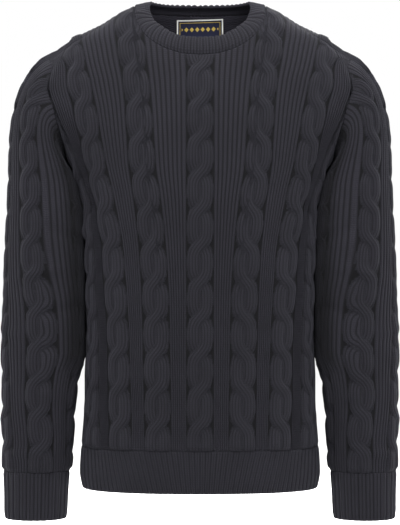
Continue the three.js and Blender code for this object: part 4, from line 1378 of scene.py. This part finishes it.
class Collar:
    """Ribbed band round the neck."""

    RIB_STEPS = 6
    ROWS = 24
    RATIO = 4
    HEIGHT = 24.0

    def __init__(self, edges: Edges) -> None:
        """Finds the neck ring.

        Args:
            edges: The panels' upper edges.
        """
        self.edge = Curves(COLLAR_EDGE)
        front, back = edges.lines[Side.FRONT], edges.lines[Side.BACK]
        ahead = np.abs(front.k) <= K_NECK + 1e-3
        behind = np.abs(back.k) < K_NECK - 1e-3
        points = np.concatenate([front.points[ahead], back.points[behind]])
        inward = np.concatenate([front.inward[ahead], back.inward[behind]])
        points = points - inward * SEAM_GAP / 2
        turns = np.degrees(np.arctan2(points[:, 0], -(points[:, 1] - NECK_MIDDLE)))
        order = np.argsort(turns)
        self.turns, self.ring = turns[order], points[order]

    def point(self, turn: Array, share: Array) -> Array:
        """Points of the band.

        Args:
            turn: Degrees round the neck from the front.
            share: 0 at the seam, 1 at the upper edge.

        Returns:
            Points.
        """
        turns = np.concatenate([self.turns[-1:] - 360, self.turns, self.turns[:1] + 360])
        ring = np.concatenate([self.ring[-1:], self.ring, self.ring[:1]])
        seam = np.stack([np.interp(turn, turns, ring[:, i]) for i in range(3)], axis=-1)
        size = np.abs(turn)
        edge = [self.edge.at(name, size) for name in ("x", "y", "z")]
        edge[0] = edge[0] * np.sign(turn)
        angle = np.radians(turn)
        outward = unit(np.stack([np.sin(angle), -np.cos(angle), np.full(turn.shape, 0.6)], axis=-1))
        bulge = 4 * COLLAR_BULGE * share * (1 - share)
        return mix(seam, np.stack(edge, axis=-1), share[..., None]) + outward * bulge[..., None]

    def build(self) -> bpy.types.Object:
        """Makes the collar.

        Returns:
            Its object.
        """
        count = COLLAR_RIBS * self.RIB_STEPS
        edge_share = 1.6 / self.HEIGHT
        share = 1 - near_edge_rows(0.0, 1.0, self.ROWS + 1, edge_share)[::-1][:, None]
        lane = np.arange(count)[None] / self.RIB_STEPS + 0 * share
        share = share + 0 * lane
        turn = (lane + 0.5) * 360 / COLLAR_RIBS - 180
        base = self.point(turn, share)
        across = np.roll(base, -1, axis=1) - np.roll(base, 1, axis=1)
        normal = unit(np.cross(across, np.gradient(base, axis=0)))
        relief = rib_relief(lane, BAND_RISE * 1.3)
        seam = np.clip(share * self.HEIGHT / 4, 0.12, 1)
        low = round_edge((1 - share) * self.HEIGHT, WALL)
        outer = base + normal * (relief.rise * seam - low)[..., None]
        inner = base + normal * (low - WALL)[..., None]

        def shape(column: Array, row: Array, is_inner: Array) -> Skin:
            i, j = row.astype(int), column.astype(int) % count
            points = np.where(is_inner[:, None], inner[i, j], outer[i, j])
            # inner skin: stronger painted light; outer skin: painted shade of the relief
            dark = np.where(is_inner, COLLAR_INSIDE_PAINTED_LIGHT, relief.sink[i, j])
            along = share[i, j] * self.HEIGHT
            return Skin(points, 2 * lane[i, j], along, dark, is_inner.astype(float))

        return Cloth("collar_rib_knit", count, self.ROWS, self.RATIO, True).build(shape)


class NeckLabel:
    """Woven label inside the back neck, with a plain border and plain stripes."""

    COLUMNS = 36
    ROWS = 20

    def __init__(self, form: BodyForm) -> None:
        """Keeps the torso.

        Args:
            form: The torso.
        """
        self.form = form

    def build(self) -> bpy.types.Object:
        """Makes the label.

        Returns:
            Its object.
        """
        bm = bmesh.new()
        bmesh.ops.create_grid(bm, x_segments=self.COLUMNS, y_segments=self.ROWS, size=1.0)
        bmesh.ops.solidify(bm, geom=bm.faces[:] + bm.edges[:] + bm.verts[:], thickness=1.0)
        mesh = bpy.data.meshes.new("neck_label_woven")
        bm.to_mesh(mesh)
        bm.free()
        lattice = np.empty(len(mesh.vertices) * 3, np.float32)
        mesh.vertices.foreach_get("co", lattice)
        across, up, layer = lattice.reshape(-1, 3).astype(float).T
        layer = np.abs(layer)
        x = across * LABEL_WIDTH / 2
        z = mix(LABEL_BOTTOM, LABEL_TOP, (up + 1) / 2) + LABEL_TILT * x
        slices = self.form.slices
        y = slices.at("back", z) * np.sqrt(1 - (x / slices.at("half", z)) ** 2)
        base = np.stack([x, y, z], axis=-1)
        wave = 0.5 * np.sin(across * 2.6 + 0.4) * (1 - up) / 2
        points = base - self.form.normal(base) * (LABEL_OFF + wave)[:, None]
        points[:, 1] -= layer * LABEL_THICK
        mesh.vertices.foreach_set("co", (points * MM).astype(np.float32).ravel())
        for name, values in (("across", x), ("up", (up + 1) / 2 * (LABEL_TOP - LABEL_BOTTOM))):
            attribute = mesh.attributes.new(name, "FLOAT", "POINT")
            attribute.data.foreach_set("value", values.astype(np.float32))
        mesh.update()
        piece = bpy.data.objects.new(mesh.name, mesh)
        bpy.context.scene.collection.objects.link(piece)
        return piece


class Graph:
    """Small helper that writes shader nodes as expressions."""

    def __init__(self, name: str) -> None:
        """Starts a material.

        Args:
            name: Its name.
        """
        self.material = bpy.data.materials.new(name)
        self.material.use_nodes = True
        self.tree = self.material.node_tree
        self.shader = self.tree.nodes["Principled BSDF"]

    def node(self, kind: str, **settings: object) -> bpy.types.Node:
        """Adds a node with settings."""
        made = self.tree.nodes.new(kind)
        for name, value in settings.items():
            setattr(made, name, value)
        return made

    def feed(self, socket: bpy.types.NodeSocket, value: object) -> None:
        """Links a socket or sets its value."""
        if isinstance(value, bpy.types.NodeSocket):
            self.tree.links.new(value, socket)
        else:
            socket.default_value = value

    def math(self, operation: str, *values: object) -> bpy.types.NodeSocket:
        """Adds a math node; returns its output."""
        made = self.node("ShaderNodeMath", operation=operation)
        for socket, value in zip(made.inputs, values):
            self.feed(socket, value)
        return made.outputs[0]

    def attribute(self, name: str) -> bpy.types.NodeSocket:
        """Output of a mesh attribute."""
        return self.node("ShaderNodeAttribute", attribute_name=name).outputs["Fac"]

    def step(self, value: object, low: float, high: float) -> bpy.types.NodeSocket:
        """Smooth step of a value between two limits."""
        made = self.node("ShaderNodeMapRange", interpolation_type="SMOOTHSTEP")
        self.feed(made.inputs["Value"], value)
        made.inputs["From Min"].default_value = low
        made.inputs["From Max"].default_value = high
        return made.outputs["Result"]

    def blend(self, share: object, a: object, b: object) -> bpy.types.NodeSocket:
        """Colour mix from a to b."""
        made = self.node("ShaderNodeMix", data_type="RGBA")
        self.feed(made.inputs["Factor"], share)
        self.feed(made.inputs["A"], a)
        self.feed(made.inputs["B"], b)
        return made.outputs["Result"]

    def noise(self, scale: float, detail: float) -> bpy.types.NodeSocket:
        """Noise over object coordinates."""
        made = self.node("ShaderNodeTexNoise")
        made.inputs["Scale"].default_value = scale
        made.inputs["Detail"].default_value = detail
        place = self.node("ShaderNodeTexCoord")
        self.tree.links.new(place.outputs["Object"], made.inputs["Vector"])
        return made.outputs["Fac"]


Colour = tuple[float, float, float, float]


@dataclass(frozen=True)
class KnitFinish:
    """Matt cotton yarn in knit stitches, drawn over the relief of the mesh, with painted shade in stitch grooves,
    relief recesses and the crevice beside the sleeves, and painted light on the inner skin.
    """

    name: str
    yarn: Colour = (0.0200, 0.0192, 0.0258, 1)
    # the painted shade colour: the yarn in deep shade
    groove: Colour = (0.0009, 0.0009, 0.0011, 1)
    stitch: float = 3.1
    bump: float = 0.0011
    sheen: float = 0.03

    def material(self) -> bpy.types.Material:
        """Builds the material.

        Returns:
            The material.
        """
        graph = Graph(self.name)
        math_ = graph.math
        cross, along = graph.attribute("cross"), graph.attribute("along")
        sink, inside = graph.attribute("sink"), graph.attribute("inside")
        off = math_("ABSOLUTE", math_("SUBTRACT", math_("FRACT", cross), 0.5))
        round_wale = math_("SUBTRACT", 1.0, math_("POWER", math_("MULTIPLY", off, 2.0), 2.0))
        rows = math_("DIVIDE", along, self.stitch)
        legs = math_("SUBTRACT", rows, math_("MULTIPLY", off, 1.3))
        yarn = math_("MULTIPLY_ADD", math_("SINE", math_("MULTIPLY", legs, 2 * math.pi)), 0.5, 0.5)
        split = graph.step(off, 0.0, 0.13)
        front = math_("MULTIPLY", round_wale, math_("MULTIPLY_ADD", yarn, 0.45, 0.55))
        front = math_("MULTIPLY", front, math_("MULTIPLY_ADD", split, 0.3, 0.7))
        wave = math_("SINE", math_("MULTIPLY", cross, 2 * math.pi))
        purl = math_("MULTIPLY_ADD", wave, 0.25, math_("MULTIPLY", rows, 1.0))
        purl = math_("MULTIPLY_ADD", math_("SINE", math_("MULTIPLY", purl, 2 * math.pi)), 0.5, 0.5)
        knit = math_("ADD", math_("MULTIPLY", front, math_("SUBTRACT", 1.0, inside)), math_("MULTIPLY", purl, inside))
        fuzz = graph.noise(1400.0, 3.0)
        height = math_("MULTIPLY_ADD", fuzz, 0.35, knit)
        bump = graph.node("ShaderNodeBump")
        bump.inputs["Strength"].default_value = 1.0
        bump.inputs["Distance"].default_value = self.bump
        graph.feed(bump.inputs["Height"], height)
        graph.feed(graph.shader.inputs["Normal"], bump.outputs["Normal"])
        # Painted shade from the mesh: darker in recesses of the relief and in the crevice beside the sleeves;
        # negative values on the inner skin paint it lighter
        high = math_("MAXIMUM", math_("SUBTRACT", 1.0, math_("MULTIPLY", sink, 0.6)), 0.02)
        # Painted shade in the grooves of the stitches, and painted light that makes the inner skin brighter than the
        # outer one
        lit = math_("MULTIPLY", math_("MULTIPLY_ADD", knit, 0.8, 0.1), math_("MULTIPLY_ADD", inside, 0.48, 0.52))
        depth = math_("MULTIPLY", high, lit)
        patchy = math_("MULTIPLY_ADD", graph.noise(14.0, 2.0), 0.5, 0.75)
        fleck = math_("MULTIPLY_ADD", graph.noise(700.0, 2.0), 0.6, 0.7)
        share = math_("MULTIPLY", depth, math_("MULTIPLY", patchy, fleck))
        # Yarn colour runs towards the painted shade colour where shade is painted; patchy and fleck are random tone
        colour = graph.blend(share, self.groove, self.yarn)
        graph.feed(graph.shader.inputs["Base Color"], colour)
        shader = graph.shader.inputs
        shader["Roughness"].default_value = 0.92
        shader["Specular IOR Level"].default_value = 0.08
        shader["Sheen Weight"].default_value = self.sheen
        shader["Sheen Roughness"].default_value = 0.45
        shader["Sheen Tint"].default_value = (0.62, 0.62, 0.78, 1)
        return graph.material


@dataclass(frozen=True)
class LabelFinish:
    """Woven satin in navy with a pale border, two plain stripes and small diamonds."""

    name: str = "woven_label"
    ground: Colour = (0.004, 0.005, 0.018, 1)
    pale: Colour = (0.50, 0.50, 0.48, 1)
    gold: Colour = (0.27, 0.20, 0.04, 1)
    border: float = 1.9
    pitch: float = 8.0

    def material(self) -> bpy.types.Material:
        """Builds the material.

        Returns:
            The material.
        """
        graph = Graph(self.name)
        math_ = graph.math
        across, up = graph.attribute("across"), graph.attribute("up")
        height = LABEL_TOP - LABEL_BOTTOM
        side = math_("SUBTRACT", LABEL_WIDTH / 2, math_("ABSOLUTE", across))
        end = math_("SUBTRACT", height / 2, math_("ABSOLUTE", math_("SUBTRACT", up, height / 2)))
        rim = math_("LESS_THAN", math_("MINIMUM", side, end), self.border)
        inner = math_("MINIMUM", side, end)
        line = math_("MULTIPLY", math_("GREATER_THAN", inner, 4.2), math_("LESS_THAN", inner, 5.0))
        cell = math_("ABSOLUTE", math_("SUBTRACT", math_("FRACT", math_("DIVIDE", across, self.pitch)), 0.5))
        off = math_("ABSOLUTE", math_("SUBTRACT", up, height * 0.6))
        diamond = math_("ADD", math_("MULTIPLY", cell, 2.0), math_("DIVIDE", off, 4.2))
        mark = math_("MULTIPLY", math_("LESS_THAN", diamond, 0.8), math_("GREATER_THAN", inner, 7.0))
        colour = graph.blend(mark, self.ground, self.gold)
        colour = graph.blend(line, colour, self.gold)
        colour = graph.blend(rim, colour, self.pale)
        graph.feed(graph.shader.inputs["Base Color"], colour)
        warp = math_("SINE", math_("MULTIPLY", across, 2 * math.pi / 0.5))
        weft = math_("SINE", math_("MULTIPLY", up, 2 * math.pi / 0.7))
        bump = graph.node("ShaderNodeBump")
        bump.inputs["Strength"].default_value = 0.5
        bump.inputs["Distance"].default_value = 0.0002
        graph.feed(bump.inputs["Height"], math_("MULTIPLY", warp, weft))
        graph.feed(graph.shader.inputs["Normal"], bump.outputs["Normal"])
        shader = graph.shader.inputs
        shader["Roughness"].default_value = 0.6
        shader["Specular IOR Level"].default_value = 0.2
        return graph.material


@dataclass(frozen=True)
class Softbox:
    """An area light that looks at the garment."""

    name: str
    place: tuple[float, float, float]
    aim: tuple[float, float, float]
    size: float
    power: float

    def build(self) -> None:
        """Adds the light to the scene."""
        data = bpy.data.lights.new(self.name, "AREA")
        data.shape = "SQUARE"
        data.size = self.size
        data.energy = self.power
        lamp = bpy.data.objects.new(self.name, data)
        lamp.location = self.place
        way = np.array(self.aim) - np.array(self.place)
        flat = math.hypot(way[0], way[1])
        lamp.rotation_euler = (math.pi / 2 + math.atan2(way[2], flat), 0, math.atan2(-way[0], way[1]))
        bpy.context.scene.collection.objects.link(lamp)


@dataclass(frozen=True)
class Studio:
    """Pale floor, world, lights and camera."""

    distance: float = 3.2
    middle: float = -0.339
    frame_width: float = 0.56
    floor_z: float = -0.86
    floor_size: float = 14.0

    def build(self) -> None:
        """Adds them all to the scene."""
        self._floor()
        self._world()
        self._camera()
        for box in (
            Softbox("key_softbox", (-0.9, -1.6, 1.35), (0, 0, 0.0), 1.2, 82),
            Softbox("fill_softbox", (0.7, -1.5, 0.75), (0, 0, 0.0), 0.9, 52),
            Softbox("top_softbox", (0, -0.3, 1.9), (0, 0, 0), 1.4, 84),
            Softbox("rim_left", (-2.0, 1.3, 0.4), (0, 0, -0.3), 1.2, 26),
            Softbox("rim_right", (2.0, 1.3, 0.4), (0, 0, -0.3), 1.2, 26),
            Softbox("back_softbox", (0.3, 2.2, 0.9), (0, 0, -0.2), 1.4, 90),
        ):
            box.build()

    def _floor(self) -> None:
        """Lays the floor."""
        bm = bmesh.new()
        bmesh.ops.create_grid(bm, x_segments=1, y_segments=1, size=self.floor_size)
        bmesh.ops.translate(bm, verts=bm.verts[:], vec=(0, 0, self.floor_z))
        mesh = bpy.data.meshes.new("floor")
        bm.to_mesh(mesh)
        bm.free()
        floor = bpy.data.objects.new("floor", mesh)
        bpy.context.scene.collection.objects.link(floor)
        graph = Graph("pale_floor")
        graph.shader.inputs["Base Color"].default_value = (0.93, 0.93, 0.93, 1)
        graph.shader.inputs["Roughness"].default_value = 0.9
        mesh.materials.append(graph.material)

    def _world(self) -> None:
        """Sets a plain white surround."""
        world = bpy.data.worlds.new("studio")
        world.use_nodes = True
        background = world.node_tree.nodes["Background"]
        background.inputs["Color"].default_value = (1, 1, 1, 1)
        background.inputs["Strength"].default_value = 1.0
        bpy.context.scene.world = world
        bpy.context.scene.view_settings.view_transform = "Standard"

    def _camera(self) -> None:
        """Places the camera level with the middle of the garment."""
        data = bpy.data.cameras.new("camera")
        data.sensor_fit = "HORIZONTAL"
        data.sensor_width = 36.0
        data.lens = 36.0 * self.distance / self.frame_width
        data.clip_end = 60.0
        camera = bpy.data.objects.new("camera", data)
        camera.location = (0, -self.distance, self.middle)
        camera.rotation_euler = (math.pi / 2, 0, 0)
        bpy.context.scene.collection.objects.link(camera)
        bpy.context.scene.camera = camera


class Sweater:
    """The whole garment: builds each piece and gives it its finish."""

    def __init__(self) -> None:
        """Prepares the forms and the finishes."""
        self.form = BodyForm()
        self.edges = Edges(self.form)
        self.knit = KnitFinish("cable_knit").material()
        self.rib = KnitFinish("rib_knit").material()
        self.woven = LabelFinish().material()

    def _add(
        self, piece: bpy.types.Object, node: str, finish: bpy.types.Material,
    ) -> None:
        """Gives a piece its material and says what it is.

        Args:
            Gives a piece its material, attaches it to the body, hides the CAD node that it replaces and logs its
            size.
            node: The CAD node that it replaces.
            finish: Its material.
        """
        piece.data.materials.append(finish)
        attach(piece, BODY)
        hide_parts(node)
        log.info("%s: %d faces", piece.name, len(piece.data.polygons))

    def build(self) -> None:
        """Makes every piece in order."""
        front = BodyPanel(self.form, Side.FRONT).build()
        self._add(front, "body_front", self.knit)
        back = BodyPanel(self.form, Side.BACK).build()
        self._add(back, "body_back", self.knit)
        sleeve = Sleeve(self.edges)
        cuff = Cuff(sleeve)
        for side, mirrored in (("left", False), ("right", True)):
            made = sleeve.build(mirrored)
            self._add(
                made, f"sleeve_{side}", self.knit
            )
            made = cuff.build(mirrored)
            self._add(
                made, f"cuff_{side}", self.rib
            )
        hem = Hem(self.form).build()
        self._add(hem, "hem_rib", self.rib)
        collar = Collar(self.edges).build()
        self._add(collar, "collar", self.rib)
        label = NeckLabel(self.form).build()
        self._add(label, "neck_label", self.woven)


def main() -> None:
    """Builds the garment and the studio."""
    logging.basicConfig(level=logging.INFO, format="%(message)s")
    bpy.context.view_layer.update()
    Sweater().build()
    Studio().build()
    bpy.context.view_layer.update()


if __name__ == "__main__":
    main()
